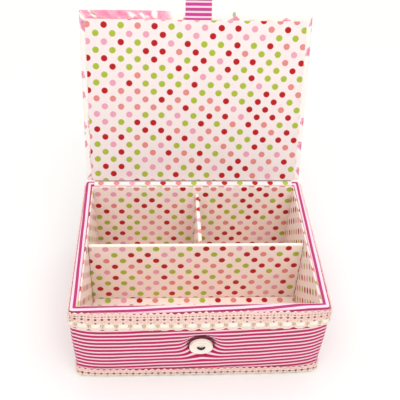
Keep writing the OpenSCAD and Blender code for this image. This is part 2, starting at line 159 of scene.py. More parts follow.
class LidSizes(bpy.types.PropertyGroup):
    """Sizes of the lid, its lining, the hinge cloths and the strap."""

    width: size("Lid width", 240, "Width of the covered lid")
    rear: size("Rear edge", 0.1, "From the hinge line to the lid's rear edge")
    length: size("Lid length", 186.7, "From the hinge line to the lid's front edge")
    corner: size("Lid corner", 1.6, "Corner radius of the covered lid")
    board_top: size("Board top", 4.6, "From the lid's inner face to the top of its board")
    edge_top: size("Edge top", 6.8, "From the lid's inner face to the top at its edges")
    crown: size("Crown", 4.5, "Rise of the padding over the lid's edges")
    lining_width: size("Lining width", 229, "Width of the lid lining")
    lining_rear: size("Lining rear", 0.1, "From the hinge line to the lining's rear edge")
    lining_front: size("Lining front", 178.7, "From the hinge line to the lining's front edge")
    lining: size("Lining", 1.6, "Thickness of the lining card with its cloth")
    strip_width: size("Hinge strip width", 222, "Width of the dotted strip over the hinge")
    flap_width: size("Rear flap width", 200, "Width of the cloth flap behind the hinge")
    strap_width: size("Strap width", 27, "Width of the closing strap")
    strap_length: size("Strap length", 78, "From the strap's fold to its end")
    strap_tuck: size("Strap tuck", 22.3, "Strap caught between the lid and its lining, to the fold")
    strap_corner: size("Strap corner", 6, "Corner radius of the strap's end")
    strap: size("Strap", 1.2, "Thickness of the doubled strap")
    strap_bow: size("Strap bow", 1.6, "How far the strap bows, to clear the lace when it is folded down")
    buttonhole_place: size("Buttonhole place", 55.6, "From the fold to the buttonhole's middle")
    buttonhole: size("Buttonhole", 24, "Length of the buttonhole")
    buttonhole_gap: size("Buttonhole gap", 1.4, "Width of the buttonhole")


class ClothColours(bpy.types.PropertyGroup):
    """Colours of the cloths, the lace, the button and the thread."""

    # Stripe, rim stripe and strap stripe are one dark stripe in three tones, set for the light where each
    # lies: painted shade makes it deepest on the walls, painted light makes it paler and more magenta over
    # the rim and on the strap.
    stripe: colour("Stripe", 192, 16, 82, "Dark stripe of the cover cotton")
    stripe_rim: colour("Rim stripe", 182, 54, 110, "Dark stripe where it is turned over the rim")
    stripe_strap: colour("Strap stripe", 210, 62, 150, "Dark stripe of the closing strap")
    stripe_line: colour("Stripe line", 108, 52, 86, "Thin line at the stripe's lower edge")
    pit: colour("Pit", 112, 14, 44, "Shade of the cover behind the button")
    stripe_ground: colour("Stripe ground", 255, 216, 232, "Pale stripe of the cover cotton")
    # Dot ground and dot ground inside are one cloth in two tones, set for the light where each lies:
    # painted light makes it warmer inside the box.
    dot_ground: colour("Dot ground", 244, 232, 231, "Ground of the dotted cotton in the lid")
    dot_shade: colour("Dot ground inside", 251, 236, 228, "Ground of the dotted cotton in the box")
    crease: colour("Crease", 112, 98, 98, "Shade in the crease of the hinge strip")
    dot_red: colour("Red dot", 185, 19, 27, "Red dots")
    dot_green: colour("Green dot", 170, 188, 55, "Green dots")
    dot_pink: colour("Pink dot", 233, 163, 185, "Pink dots")
    dot_salmon: colour("Salmon dot", 226, 139, 134, "Salmon dots")
    flower_ground: colour("Flower ground", 250, 246, 241, "Ground of the flowered cotton")
    flower_dark: colour("Flower dark", 214, 96, 136, "Hearts of the flowers")
    flower_pale: colour("Flower pale", 248, 190, 208, "Petals of the flowers")
    flower_rose: colour("Flower rose", 250, 130, 172, "Roses on the lid's front edge")
    leaf: colour("Leaf", 150, 160, 104, "Leaves of the flowered cotton")
    lace_rose: colour("Rose lace", 255, 224, 214, "Upper half of the lace")
    lace_ivory: colour("Ivory lace", 255, 242, 224, "Lower half of the lace")
    lace_white: colour("Lace blocks", 255, 249, 240, "Puffed blocks of the lace")
    lace_gap: colour("Lace gaps", 118, 34, 46, "Shade between the lace's stitches")
    lace_tan: colour("Tan bars", 226, 178, 130, "Bars between the lace's blocks")
    base_cotton: colour("Base cotton", 240, 224, 222, "Cotton under the base")
    button: colour("Button", 253, 246, 231, "Button")
    thread: colour("Thread", 14, 11, 13, "Thread that holds the button")
    strap_thread: colour("Strap thread", 232, 120, 176, "Stitching on the strap")
    greyboard: colour("Greyboard", 150, 146, 140, "Boards of the walls, base, lid and dividers")
    lining_card: colour("Lining card", 226, 222, 212, "Card behind the linings")
    wadding: colour("Wadding", 246, 245, 242, "Padding of the walls and lid")


class StudioSettings(bpy.types.PropertyGroup):
    """Camera, lamps and floor."""

    camera_place: FloatVectorProperty(
        name="Camera place",
        description="Where the camera stands",
        default=(-0.0373, -0.4799, 0.5727),
        subtype="XYZ",
        unit="LENGTH",
    )
    pitch: angle("Pitch", 39.10, "How far the camera looks down")
    yaw: angle("Yaw", 4.28, "How far the camera turns to the right")
    roll: angle("Roll", 2.67, "How far the camera leans")
    lens: FloatProperty(
        name="Lens", description="Focal length on a 36 mm wide sensor", default=59.26, unit="CAMERA"
    )
    shift_across: share("Shift across", 0.0028, "Sideways shift of the lens")
    shift_up: share("Shift up", -0.061, "Upward shift of the lens")
    floor: colour("Floor", 238, 238, 238, "Floor round the box")
    background: colour("Background", 255, 254, 252, "What the camera sees behind the floor")
    daylight: share("Daylight", 0.56, "Even light from all round")
    sky: share("Sky lamp", 1.85, "Soft light from above, in watts per square metre")
    key: FloatProperty(
        name="Key lamp", description="Soft lamp over the camera", default=4.0, unit="POWER"
    )


class SewingBox(bpy.types.PropertyGroup):
    """All settings of the sewing box."""

    walls: PointerProperty(type=WallSizes, name="Walls", description="Sizes of the walls")
    lid: PointerProperty(type=LidSizes, name="Lid", description="Sizes of the lid")
    colours: PointerProperty(type=ClothColours, name="Colours", description="Colours of the cloths")
    studio: PointerProperty(type=StudioSettings, name="Studio", description="Camera, lamps and floor")


def settings():
    """The sewing box's settings in the open scene."""
    return bpy.context.scene.sewing_box


class Millimetres:
    """Reads the lengths of a group of settings in millimetres."""

    def __init__(self, group):
        self.group = group

    def __getattr__(self, name):
        return getattr(self.group, name) / MM


# Materials


class Wire:
    """A number socket; sums on it add Math nodes."""

    def __init__(self, finish, socket):
        self.finish, self.socket = finish, socket

    def __add__(self, other):
        return self.finish.math("ADD", self, other)

    def __sub__(self, other):
        return self.finish.math("SUBTRACT", self, other)

    def __rsub__(self, other):
        return self.finish.math("SUBTRACT", other, self)

    def __mul__(self, other):
        return self.finish.math("MULTIPLY", self, other)

    def __truediv__(self, other):
        return self.finish.math("DIVIDE", self, other)

    def __rtruediv__(self, other):
        return self.finish.math("DIVIDE", other, self)

    def __mod__(self, other):
        return self.finish.math("FLOORED_MODULO", self, other)

    def __pow__(self, other):
        return self.finish.math("POWER", self, other)

    def __abs__(self):
        return self.finish.math("ABSOLUTE", self)

    __radd__ = __add__
    __rmul__ = __mul__

    def floor(self):
        return self.finish.math("FLOOR", self)

    def sine(self):
        return self.finish.math("SINE", self)

    def most(self, other):
        return self.finish.math("MAXIMUM", self, other)

    def step(self, soft=0.3):
        """A mask that rises from 0 to 1 over a soft edge round zero."""
        return self.finish.clamp(self / soft + 0.5)


class Nodes:
    """The node tree of a material or a world, built node by node."""

    def __init__(self, owner):
        owner.use_nodes = True
        self.tree = owner.node_tree
        self.tree.nodes.clear()

    def node(self, kind, settings=None, sockets=None):
        """A node of a kind, with its settings and the values or links of its sockets."""
        made = self.tree.nodes.new(kind)
        for name, value in (settings or {}).items():
            if name == "stops":
                for stop, (place, tone) in zip(self._stops(made, len(value)), value):
                    stop.position, stop.color = place, tone
            elif name == "interpolation":
                made.color_ramp.interpolation = value
            else:
                setattr(made, name, value)
        for name, value in (sockets or {}).items():
            self.feed(made.inputs[name], value)
        return made

    def _stops(self, ramp, count):
        stops = ramp.color_ramp.elements
        while len(stops) < count:
            stops.new(1.0)
        return stops

    def feed(self, socket, value):
        """Sets a socket to a value, or links it."""
        if isinstance(value, Wire):
            value = value.socket
        if isinstance(value, bpy.types.NodeSocket):
            self.tree.links.new(value, socket)
        else:
            socket.default_value = value

    def math(self, operation, *values):
        """A Math node on values or wires."""
        made = self.node("ShaderNodeMath", {"operation": operation}, dict(enumerate(values)))
        return Wire(self, made.outputs[0])

    def show(self, output, shader):
        """Makes a shader the tree's surface."""
        self.node(output, None, {"Surface": shader.outputs[0]})


class Finish(Nodes):
    """A material round one Principled shader."""

    def __init__(self, name, **constants):
        self.material = bpy.data.materials.new(name)
        super().__init__(self.material)
        self.shader = self.node("ShaderNodeBsdfPrincipled")
        self.show("ShaderNodeOutputMaterial", self.shader)
        for name_, value in constants.items():
            self.shader.inputs[name_.replace("_", " ")].default_value = value

    def set(self, name, value):
        """Feeds a socket of the shader."""
        self.feed(self.shader.inputs[name], value)

    def clamp(self, value):
        """A number held between 0 and 1."""
        return Wire(self, self.node("ShaderNodeClamp", None, {"Value": value}).outputs[0])

    def mix(self, factor, first, second):
        """A colour between two, by a mask."""
        made = self.node("ShaderNodeMix", {"data_type": "RGBA"}, {0: factor, 6: first, 7: second})
        return made.outputs[2]

    def shade(self, tone, factor, low, high):
        """A colour made darker or lighter by a mask, from low to high times itself."""
        level = self.clamp(factor) * (high - low) + low
        made = self.node(
            "ShaderNodeVectorMath",
            {"operation": "SCALE"},
            {"Vector": tone[:3] if isinstance(tone, tuple) else tone, "Scale": level},
        )
        return made.outputs[0]

    def flat(self):
        """The two flat coordinates of a cloth, in millimetres, and both as one vector."""
        place = self.node("ShaderNodeUVMap", {"uv_map": CLOTH}).outputs[0]
        parts = self.node("ShaderNodeSeparateXYZ", None, {"Vector": place})
        return Wire(self, parts.outputs[0]), Wire(self, parts.outputs[1]), place

    def solid(self):
        """Object coordinates in metres."""
        return self.node("ShaderNodeTexCoord").outputs["Object"]

    def vector(self, across, up, deep=0.0):
        return self.node("ShaderNodeCombineXYZ", None, {0: across, 1: up, 2: deep}).outputs[0]

    def noise(self, place, scale, detail=2.0):
        made = self.node(
            "ShaderNodeTexNoise", None, {"Vector": place, "Scale": scale, "Detail": detail}
        )
        return Wire(self, made.outputs[0])

    def chance(self, across, up):
        """A random number and a random colour for each cell of a grid."""
        made = self.node(
            "ShaderNodeTexWhiteNoise",
            {"noise_dimensions": "2D"},
            {"Vector": self.vector(across, up)},
        )
        return Wire(self, made.outputs["Value"]), made.outputs["Color"]

    def weave(self, across, up, pitch=0.62):
        """Height of a plain weave, from its warp and weft."""
        turn = math.pi / pitch
        warp, weft = abs((across * turn).sine()), abs((up * turn).sine())
        over = ((across / pitch).floor() + (up / pitch).floor()) % 2.0
        return warp * over + weft * (1 - over)

    def bump(self, height, distance, strength=0.6):
        made = self.node(
            "ShaderNodeBump",
            None,
            {"Strength": strength, "Distance": distance * MM, "Height": height},
        )
        self.set("Normal", made.outputs[0])


def cotton(name, **constants):
    """A dull cloth finish with a little sheen."""
    return Finish(name, Sheen_Weight=0.12, Sheen_Roughness=0.5, Specular_IOR_Level=0.25, **constants)


def close_cotton(finish, tone, across, up, place, bump=0.06):
    """Gives a cotton its weave, its slubs and its uneven dye."""
    slub = finish.noise(finish.vector(across * 0.25, up * 2.2), 0.6, 3.0)
    cloud = finish.noise(place, 0.035, 2.0)
    toned = finish.shade(tone, slub * 0.5 + cloud * 0.5, 0.93, 1.05)
    finish.set("Base Color", toned)
    finish.set("Roughness", finish.clamp(0.74 + slub * 0.22))
    finish.bump(finish.weave(across, up) * 0.7 + slub * 0.6, bump)
    return finish.material


def striped_cotton(name, stripe, colours, repeat, pit=None):
    """Dark and pale stripes of one width, each dark one with a thin line at its lower edge; over the rim
    the dark stripe is paler, painted light, and round a pit the cover is darkened, painted shade.
    """
    finish = cotton(name)
    across, up, place = finish.flat()
    drift = (finish.noise(place, 0.03, 2.0) - 0.5) * 0.7
    turn = ((up + drift) / repeat) % 1.0
    rim = (up - RIM_TURN).step(2.0)
    band = ((HALF_STRIPE - rim * 0.05 - abs(turn - 0.5)) * repeat).step(0.28)
    line = (0.4 - abs((turn - 0.25) * repeat)).step(0.3)
    # painted light: over the rim the dark stripe takes the paler rim tone
    dark = finish.mix(rim, tuple(stripe), colours.stripe_rim)
    tone = finish.mix(band, colours.stripe_ground, dark)
    tone = finish.mix(line * (0.75 - rim * 0.5), tone, colours.stripe_line)
    if pit:
        # painted shade: the cover darkens in the pit that the button pulls in
        east, north, reach = pit
        apart = ((across - east) ** 2.0 + (up - north) ** 2.0) ** 0.5
        tone = finish.mix((reach - apart).step(1.6) * 0.85, tone, colours.pit)
    return close_cotton(finish, tone, across, up, place)


def dot_rows(finish, across, up, shift, tones, under):
    """Lays one square grid of round dots over a colour."""
    along, rise = across / DOT_REPEAT + shift, up / DOT_REPEAT + shift
    column, row = (along + 0.5).floor(), (rise + 0.5).floor()
    wobble = (finish.noise(finish.vector(across, up), 0.9, 1.0) - 0.5) * 0.35
    apart = ((along - column) ** 2.0 + (rise - row) ** 2.0) ** 0.5 * DOT_REPEAT
    pick, _ = finish.chance(column + 17.0 + 40 * shift, row + 5.0 - 23 * shift)
    ramp = finish.node(
        "ShaderNodeValToRGB", {"interpolation": "CONSTANT", "stops": tones}, {"Fac": pick}
    )
    return finish.mix((DOT_RADIUS + wobble - apart).step(0.35), under, ramp.outputs[0])


def dotted_cotton(name, ground, colours, crease=None):
    """Round dots in four colours on a pale ground, in rows that step by half a repeat, with a painted shade
    line along a crease if one is given.
    """
    finish = cotton(name)
    across, up, place = finish.flat()
    tones = [
        (0.0, colours.dot_red),
        (0.30, colours.dot_green),
        (0.59, colours.dot_pink),
        (0.79, colours.dot_salmon),
    ]
    tone = dot_rows(finish, across, up, 0.0, tones, tuple(ground))
    tone = dot_rows(finish, across, up, 0.5, tones, tone)
    if crease:
        # painted shade: a dark line along the crease at the hinge
        tone = finish.mix((0.9 - abs(up - crease)).step(0.7) * 0.8, tone, colours.crease)
    return close_cotton(finish, tone, across, up, place, 0.05)


def flower_grid(finish, across, up, repeat, shift, colours, under):
    """Lays one grid of loosely placed flowers with leaves over a colour."""
    along, rise = across / repeat + shift, up / repeat + shift
    column, row = along.floor(), rise.floor()
    pick, tint = finish.chance(column + 3.0 + 31 * shift, row + 11.0)
    parts = finish.node("ShaderNodeSeparateXYZ", None, {"Vector": tint})
    first, second = Wire(finish, parts.outputs[0]), Wire(finish, parts.outputs[1])
    east = (along - column - 0.5 - (first - 0.5) * 0.36) * repeat
    north = (rise - row - 0.5 - (second - 0.5) * 0.36) * repeat
    apart = (east * east + north * north) ** 0.5
    round_it = finish.math("ARCTAN2", north, east)
    shown = (pick - 0.42).step(0.02)
    edge = (3.0 + 5.0 * pick) * (0.9 + 0.1 * (round_it * 5.0 + first * 6.0).sine())
    ring = (apart * 1.9 + round_it + second * 6.0).sine() * 0.5 + 0.5
    heart = finish.clamp(1 - apart / edge)
    petals = finish.mix(
        finish.clamp(ring * 0.45 + heart * 0.7), colours.flower_pale, colours.flower_dark
    )
    slant = round_it + first * 6.0
    leaf_east = apart * slant.sine() - 8.0
    leaf_north = apart * (slant + 1.571).sine()
    leaf = 1.6 - ((leaf_east / 2.0) ** 2.0 + leaf_north ** 2.0) ** 0.5
    tone = finish.mix(leaf.step(0.5) * shown * 0.8, under, colours.leaf)
    return finish.mix((edge - apart).step(0.6) * shown, tone, petals)


def rose_border(finish, across, up, colours, under):
    """Lays a loose border of roses along the left half of the lid's front edge."""
    place = finish.vector(across, up)
    there = (-29.0 - across).step(9.0) * (up - 184.5).step(1.5)
    patch = there * ((finish.noise(place, 0.085, 1.0) - 0.36) * 24.0).step(2.0)
    fold = finish.noise(place, 0.11, 3.0)
    vein = (0.45 - abs((fold * 42.0).sine())).step(0.5)
    tone = finish.mix(finish.clamp(fold * 2.4 - 0.7), colours.flower_pale, colours.flower_rose)
    tone = finish.mix(vein * 0.45, tone, colours.flower_dark)
    return finish.mix(patch, under, tone)


def flowered_cotton(name, colours):
    """Small loose roses with leaves on cream."""
    finish = cotton(name)
    across, up, place = finish.flat()
    tone = flower_grid(finish, across, up, 27.0, 0.0, colours, tuple(colours.flower_ground))
    tone = flower_grid(finish, across, up, 34.0, 0.5, colours, tone)
    tone = rose_border(finish, across, up, colours, tone)
    return close_cotton(finish, tone, across, up, place)


def painted_gap_shade(finish, across, up, rows):
    """A mask of painted shade in the gaps between stitches, uneven from place to place."""
    total = None
    for pitch, start, level, wide, high, strength in rows:
        east = (((across - start) / pitch + 0.5) % 1.0 - 0.5) * (pitch / wide)
        north = (up - level) / high
        row = (1 - (east * east + north * north) ** 0.5).step(0.5) * strength
        total = row if total is None else total.most(row)
    open_ = finish.clamp(finish.noise(finish.solid(), 75.0, 1.0) * 2.4 - 0.4)
    return total * (0.45 + 0.55 * open_)


def lace_cotton(name, colours, rose_from, gaps, repeat, blocks):
    """Crochet cotton, rose above and ivory below, with painted shade in its gaps, and pale blocks if asked
    for.
    """
    finish = cotton(name)
    across, up, place = finish.flat()
    blur = (finish.noise(place, 0.5, 2.0) - 0.5) * 2.0
    tone = finish.mix(
        (up + blur - rose_from).step(2.0), tuple(colours.lace_ivory), tuple(colours.lace_rose)
    )
    if blocks:
        half = repeat / 2
        east = abs(((across + half - LACE_FIRST) % repeat) - half) / 5.2
        north = abs(up - 6.0) / 3.4
        apart = (east ** 3.0 + north ** 3.0) ** 0.333
        tone = finish.mix((0.88 - apart).step(0.7), tone, colours.lace_white)
        # painted shade: a faint tan ring round the edge of each puffed block
        tone = finish.mix((0.1 - abs(apart - 1.08)).step(0.16) * 0.25, tone, colours.lace_tan)
        beside = abs(across - half - LACE_FIRST)
        bar = (0.75 - beside).step(0.6) * (2.6 - abs(up - 6.2)).step(1.0)
        tone = finish.mix(bar * 0.7, tone, colours.lace_tan)
        tone = finish.mix((1.9 - up).step(1.2) * 0.8, tone, colours.lace_rose)
    twist = (across * 5.2 + up * 2.4).sine() * 0.5 + (up * 6.0 - across * 1.6).sine() * 0.5
    fuzz = finish.noise(place, 1.4, 3.0)
    tone = finish.shade(tone, fuzz * 0.6 + twist * 0.25 + 0.25, 0.8, 1.06)
    # painted shade in the gaps between stitches, on the real holes and where there are none
    tone = finish.mix(painted_gap_shade(finish, across, up, gaps), tone, colours.lace_gap)
    finish.set("Base Color", tone)
    finish.set("Roughness", finish.clamp(0.72 + fuzz * 0.25))
    finish.bump(twist * 0.6 + fuzz, 0.25)
    return finish.material


def plain_cotton(name, tone):
    """A plain cotton, by its own flat coordinates."""
    finish = cotton(name)
    across, up, place = finish.flat()
    return close_cotton(finish, tuple(tone), across, up, place)


def button_ivory(name, tone):
    """Moulded ivory button, a little cloudy, polished on its rim."""
    finish = Finish(name, Coat_Roughness=0.15, IOR=1.52)
    place = finish.solid()
    cloud = finish.noise(place, 170.0, 3.0)
    scuff = finish.noise(place, 900.0, 2.0)
    finish.set("Base Color", finish.shade(tuple(tone), cloud * 0.8 + scuff * 0.2, 0.93, 1.04))
    finish.set("Roughness", finish.clamp(0.3 + scuff * 0.2))
    finish.set("Coat Weight", finish.clamp(0.2 + cloud * 0.3))
    finish.bump(scuff, 0.02)
    return finish.material


def spun_thread(name, tone):
    """Twisted sewing thread."""
    finish = Finish(name, Specular_IOR_Level=0.3, Sheen_Weight=0.1)
    place = finish.solid()
    parts = finish.node("ShaderNodeSeparateXYZ", None, {"Vector": place})
    along, up = Wire(finish, parts.outputs[0]), Wire(finish, parts.outputs[2])
    ply = ((along + up * 0.7) * 9000.0).sine() * 0.5 + 0.5
    fuzz = finish.noise(place, 2600.0, 2.0)
    finish.set("Base Color", finish.shade(tuple(tone), ply * 0.6 + fuzz * 0.4, 0.75, 1.2))
    finish.set("Roughness", finish.clamp(0.55 + fuzz * 0.3))
    finish.bump(ply + fuzz * 0.4, 0.08)
    return finish.material


def pressed_board(name, tone, fleck, grain):
    """Grey or white board and wadding, by Object coordinates."""
    finish = Finish(name, Specular_IOR_Level=0.25)
    place = finish.solid()
    fibre = finish.noise(place, grain, 4.0)
    specks = finish.noise(place, grain * 4, 2.0)
    mottle = fibre * 0.6 + specks * 0.4
    finish.set("Base Color", finish.shade(tuple(tone), mottle, 1 - fleck, 1 + fleck))
    finish.set("Roughness", finish.clamp(0.8 + fibre * 0.2))
    finish.bump(specks + fibre, 0.12)
    return finish.material


# rows of painted shade in the lace's gaps: pitch, first place, height, half width, half height and strength
UPPER_GAPS = (
    (6.5, 1.625, 18.0, 1.15, 0.8, 0.8),
    (6.5, 4.875, 18.0, 0.6, 0.65, 0.7),
    (6.5, 1.625, 14.8, 1.2, 1.5, 1.0),
    (13.0, 1.625, 10.5, 0.9, 0.85, 0.85),
    (6.5, 4.875, 11.8, 0.7, 0.45, 0.45),
    (3.25, 1.625, 20.4, 0.55, 0.4, 0.3),
)
LOWER_GAPS = (
    (6.5, 1.625, 5.0, 1.5, 1.4, 1.0),
    (6.5, 4.875, 5.2, 0.8, 0.7, 0.6),
    (13.0, 8.125, 2.6, 0.8, 0.5, 0.5),
    (3.25, 1.625, 8.6, 0.55, 0.4, 0.4),
)
FINISHES = {}


def finish_for(name):
    """Each finish of the box, made the first time that it is asked for."""
    if name not in FINISHES:
        colours, walls = settings().colours, Millimetres(settings().walls)
        stripe, repeat = walls.stripe, walls.lace_repeat
        makers = {
            "striped_cotton": (striped_cotton, colours.stripe, colours, stripe, button_pit()),
            # the strap's paler stripe tone is painted light
            "strap_cotton": (striped_cotton, colours.stripe_strap, colours, stripe * STRAP_STRIPE),
            "dotted_cotton": (dotted_cotton, colours.dot_ground, colours),
            # the box's warmer copy of the dotted cotton, painted light
            "dotted_lining": (dotted_cotton, colours.dot_shade, colours),
            "hinge_cotton": (dotted_cotton, colours.dot_ground, colours, HINGE_CREASE),
            "flowered_cotton": (flowered_cotton, colours),
            "upper_lace_cotton": (lace_cotton, colours, 10.0, UPPER_GAPS, repeat, True),
            "lower_lace_cotton": (lace_cotton, colours, 3.2, LOWER_GAPS, repeat, False),
            "base_cotton": (plain_cotton, colours.base_cotton),
            "button_ivory": (button_ivory, colours.button),
            "button_thread": (spun_thread, colours.thread),
            "strap_thread": (spun_thread, colours.strap_thread),
            "greyboard": (pressed_board, colours.greyboard, 0.16, 260.0),
            "lining_card": (pressed_board, colours.lining_card, 0.06, 420.0),
            "wadding": (pressed_board, colours.wadding, 0.05, 120.0),
        }
        maker, *needs = makers[name]
        FINISHES[name] = maker(name, *needs)
    return FINISHES[name]


# Mesh tools


def only(piece):
    """Selects one piece and makes it active."""
    bpy.ops.object.select_all(action="DESELECT")
    piece.select_set(True)
    bpy.context.view_layer.objects.active = piece
    return piece


def piece_from(name, points, faces, flats=None):
    """A new piece from points in millimetres, faces, and the flat place of each face corner."""
    mesh = bpy.data.meshes.new(name)
    mesh.from_pydata((np.asarray(points, float) * MM).tolist(), [], [list(f) for f in faces])
    if flats is not None:
        layer = mesh.uv_layers.new(name=CLOTH)
        layer.data.foreach_set("uv", np.asarray(flats, float).ravel())
    piece = bpy.data.objects.new(name, mesh)
    bpy.context.scene.collection.objects.link(piece)
    return only(piece)


def add_line(curve, points, closed=False):
    """Adds a line through points, in millimetres, to a curve."""
    line = curve.splines.new("POLY")
    line.points.add(len(points) - 1)
    for spot, place in zip(line.points, points):
        spot.co = (*(part * MM for part in place), 1)
    line.use_cyclic_u = closed


def piece_from_curve(name, curve):
    """A new piece from a curve, made a mesh."""
    piece = bpy.data.objects.new(name, curve)
    bpy.context.scene.collection.objects.link(piece)
    only(piece)
    bpy.ops.object.convert(target="MESH")
    return bpy.context.active_object


def grid_faces(rows, columns, round_columns=False, round_rows=False):
    """Faces of a grid of points, and for each corner its row and column, counted past the seam."""
    faces, corners = [], []
    for j in range(rows if round_rows else rows - 1):
        for i in range(columns if round_columns else columns - 1):
            square = [(j, i), (j, i + 1), (j + 1, i + 1), (j + 1, i)]
            faces.append([(r % rows) * columns + c % columns for r, c in square])
            corners.extend(square)
    return faces, corners


def cloth_grid(name, points, flats, round_columns=False, round_rows=False):
    """A piece from rows of points, with the flat place of each, one more row or column at a seam."""
    rows, columns = points.shape[:2]
    faces, corners = grid_faces(rows, columns, round_columns, round_rows)
    places = [flats[r, c] for r, c in corners]
    return piece_from(name, points.reshape(-1, 3), faces, places)


def pad_between(name, outer, inner):
    """A closed pad between two grids of points; outer is seen with its normals outwards."""
    rows, columns = outer.shape[:2]
    faces, _ = grid_faces(rows, columns)
    count = rows * columns
    faces += [[count + v for v in reversed(face)] for face in list(faces)]
    edge = list(range(columns))
    edge += [r * columns + columns - 1 for r in range(1, rows)]
    edge += [(rows - 1) * columns + c for c in range(columns - 2, -1, -1)]
    edge += [r * columns for r in range(rows - 2, 0, -1)]
    for a, b in zip(edge, edge[1:] + edge[:1]):
        faces.append([b, a, count + a, count + b])
    points = np.concatenate([outer.reshape(-1, 3), inner.reshape(-1, 3)])
    return piece_from(name, points, faces)


def apply_modifiers(piece):
    """Applies all modifiers of a piece in their order."""
    only(piece)
    for modifier in list(piece.modifiers):
        bpy.ops.object.modifier_apply(modifier=modifier.name)
    return piece


def soften(piece, width, segments, degrees):
    """Rounds the edges of a piece that are sharper than an angle."""
    soft = piece.modifiers.new("soft edge", "BEVEL")
    soft.width, soft.segments, soft.limit_method = width * MM, segments, "ANGLE"
    soft.angle_limit = math.radians(degrees)


def thicken(piece, thickness, offset, bevel=0.0):
    """Gives a sheet its thickness in millimetres, and rounds its cut edges."""
    solid = piece.modifiers.new("thickness", "SOLIDIFY")
    solid.thickness, solid.offset, solid.use_even_offset = thickness * MM, offset, False
    if bevel:
        soften(piece, bevel, 2, 50)
    return apply_modifiers(piece)


def smooth(piece, degrees=40):
    """Smooth shading up to an angle."""
    only(piece)
    bpy.ops.object.shade_smooth_by_angle(angle=math.radians(degrees))
    return piece


def close_up(piece, merge=0.0, turn=True):
    """Merges points nearer than merge, in millimetres, and turns faces outwards, if asked for."""
    only(piece)
    bpy.ops.object.mode_set(mode="EDIT")
    bpy.ops.mesh.select_all(action="SELECT")
    if merge:
        bpy.ops.mesh.remove_doubles(threshold=merge * MM)
    if turn:
        bpy.ops.mesh.normals_make_consistent(inside=False)
    bpy.ops.object.mode_set(mode="OBJECT")
    return piece


def lay_flat_places(piece, place):
    """Gives each face corner its flat place, from the corner's point and the face's normal."""
    mesh = piece.data
    layer = mesh.uv_layers.get(CLOTH) or mesh.uv_layers.new(name=CLOTH)
    for face in mesh.polygons:
        for loop in face.loop_indices:
            point = mesh.vertices[mesh.loops[loop].vertex_index].co / MM
            layer.data[loop].uv = place(point, face.normal)
    return piece


def dress(piece, finish, slot, *replaced, body="box"):
    """Gives a piece its finish and the nodes that it stands for; the slot is not used."""
    piece.data.materials.clear()
    piece.data.materials.append(finish_for(finish))
    if body:
        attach(piece, body)
    if replaced:
        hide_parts(*replaced)
    return piece


def box_of(node):
    """Lowest and highest corner of a CAD node, in millimetres."""
    low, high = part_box(node)
    return low / MM, high / MM


def soft_box(name, low, high, rounding, segments=3):
    """A box with all its edges rounded."""
    low, high = Vector(low), Vector(high)
    bpy.ops.object.select_all(action="DESELECT")
    bpy.ops.mesh.primitive_cube_add(size=1, location=(low + high) / 2 * MM)
    piece = bpy.context.active_object
    piece.name = piece.data.name = name
    piece.scale = (high - low) * MM
    bpy.ops.object.transform_apply(location=True, rotation=True, scale=True)
    bpy.ops.object.mode_set(mode="EDIT")
    bpy.ops.mesh.select_all(action="SELECT")
    bpy.ops.mesh.bevel(offset=rounding * MM, segments=segments, affect="EDGES")
    bpy.ops.object.mode_set(mode="OBJECT")
    return smooth(piece, 60)


# The padded walls


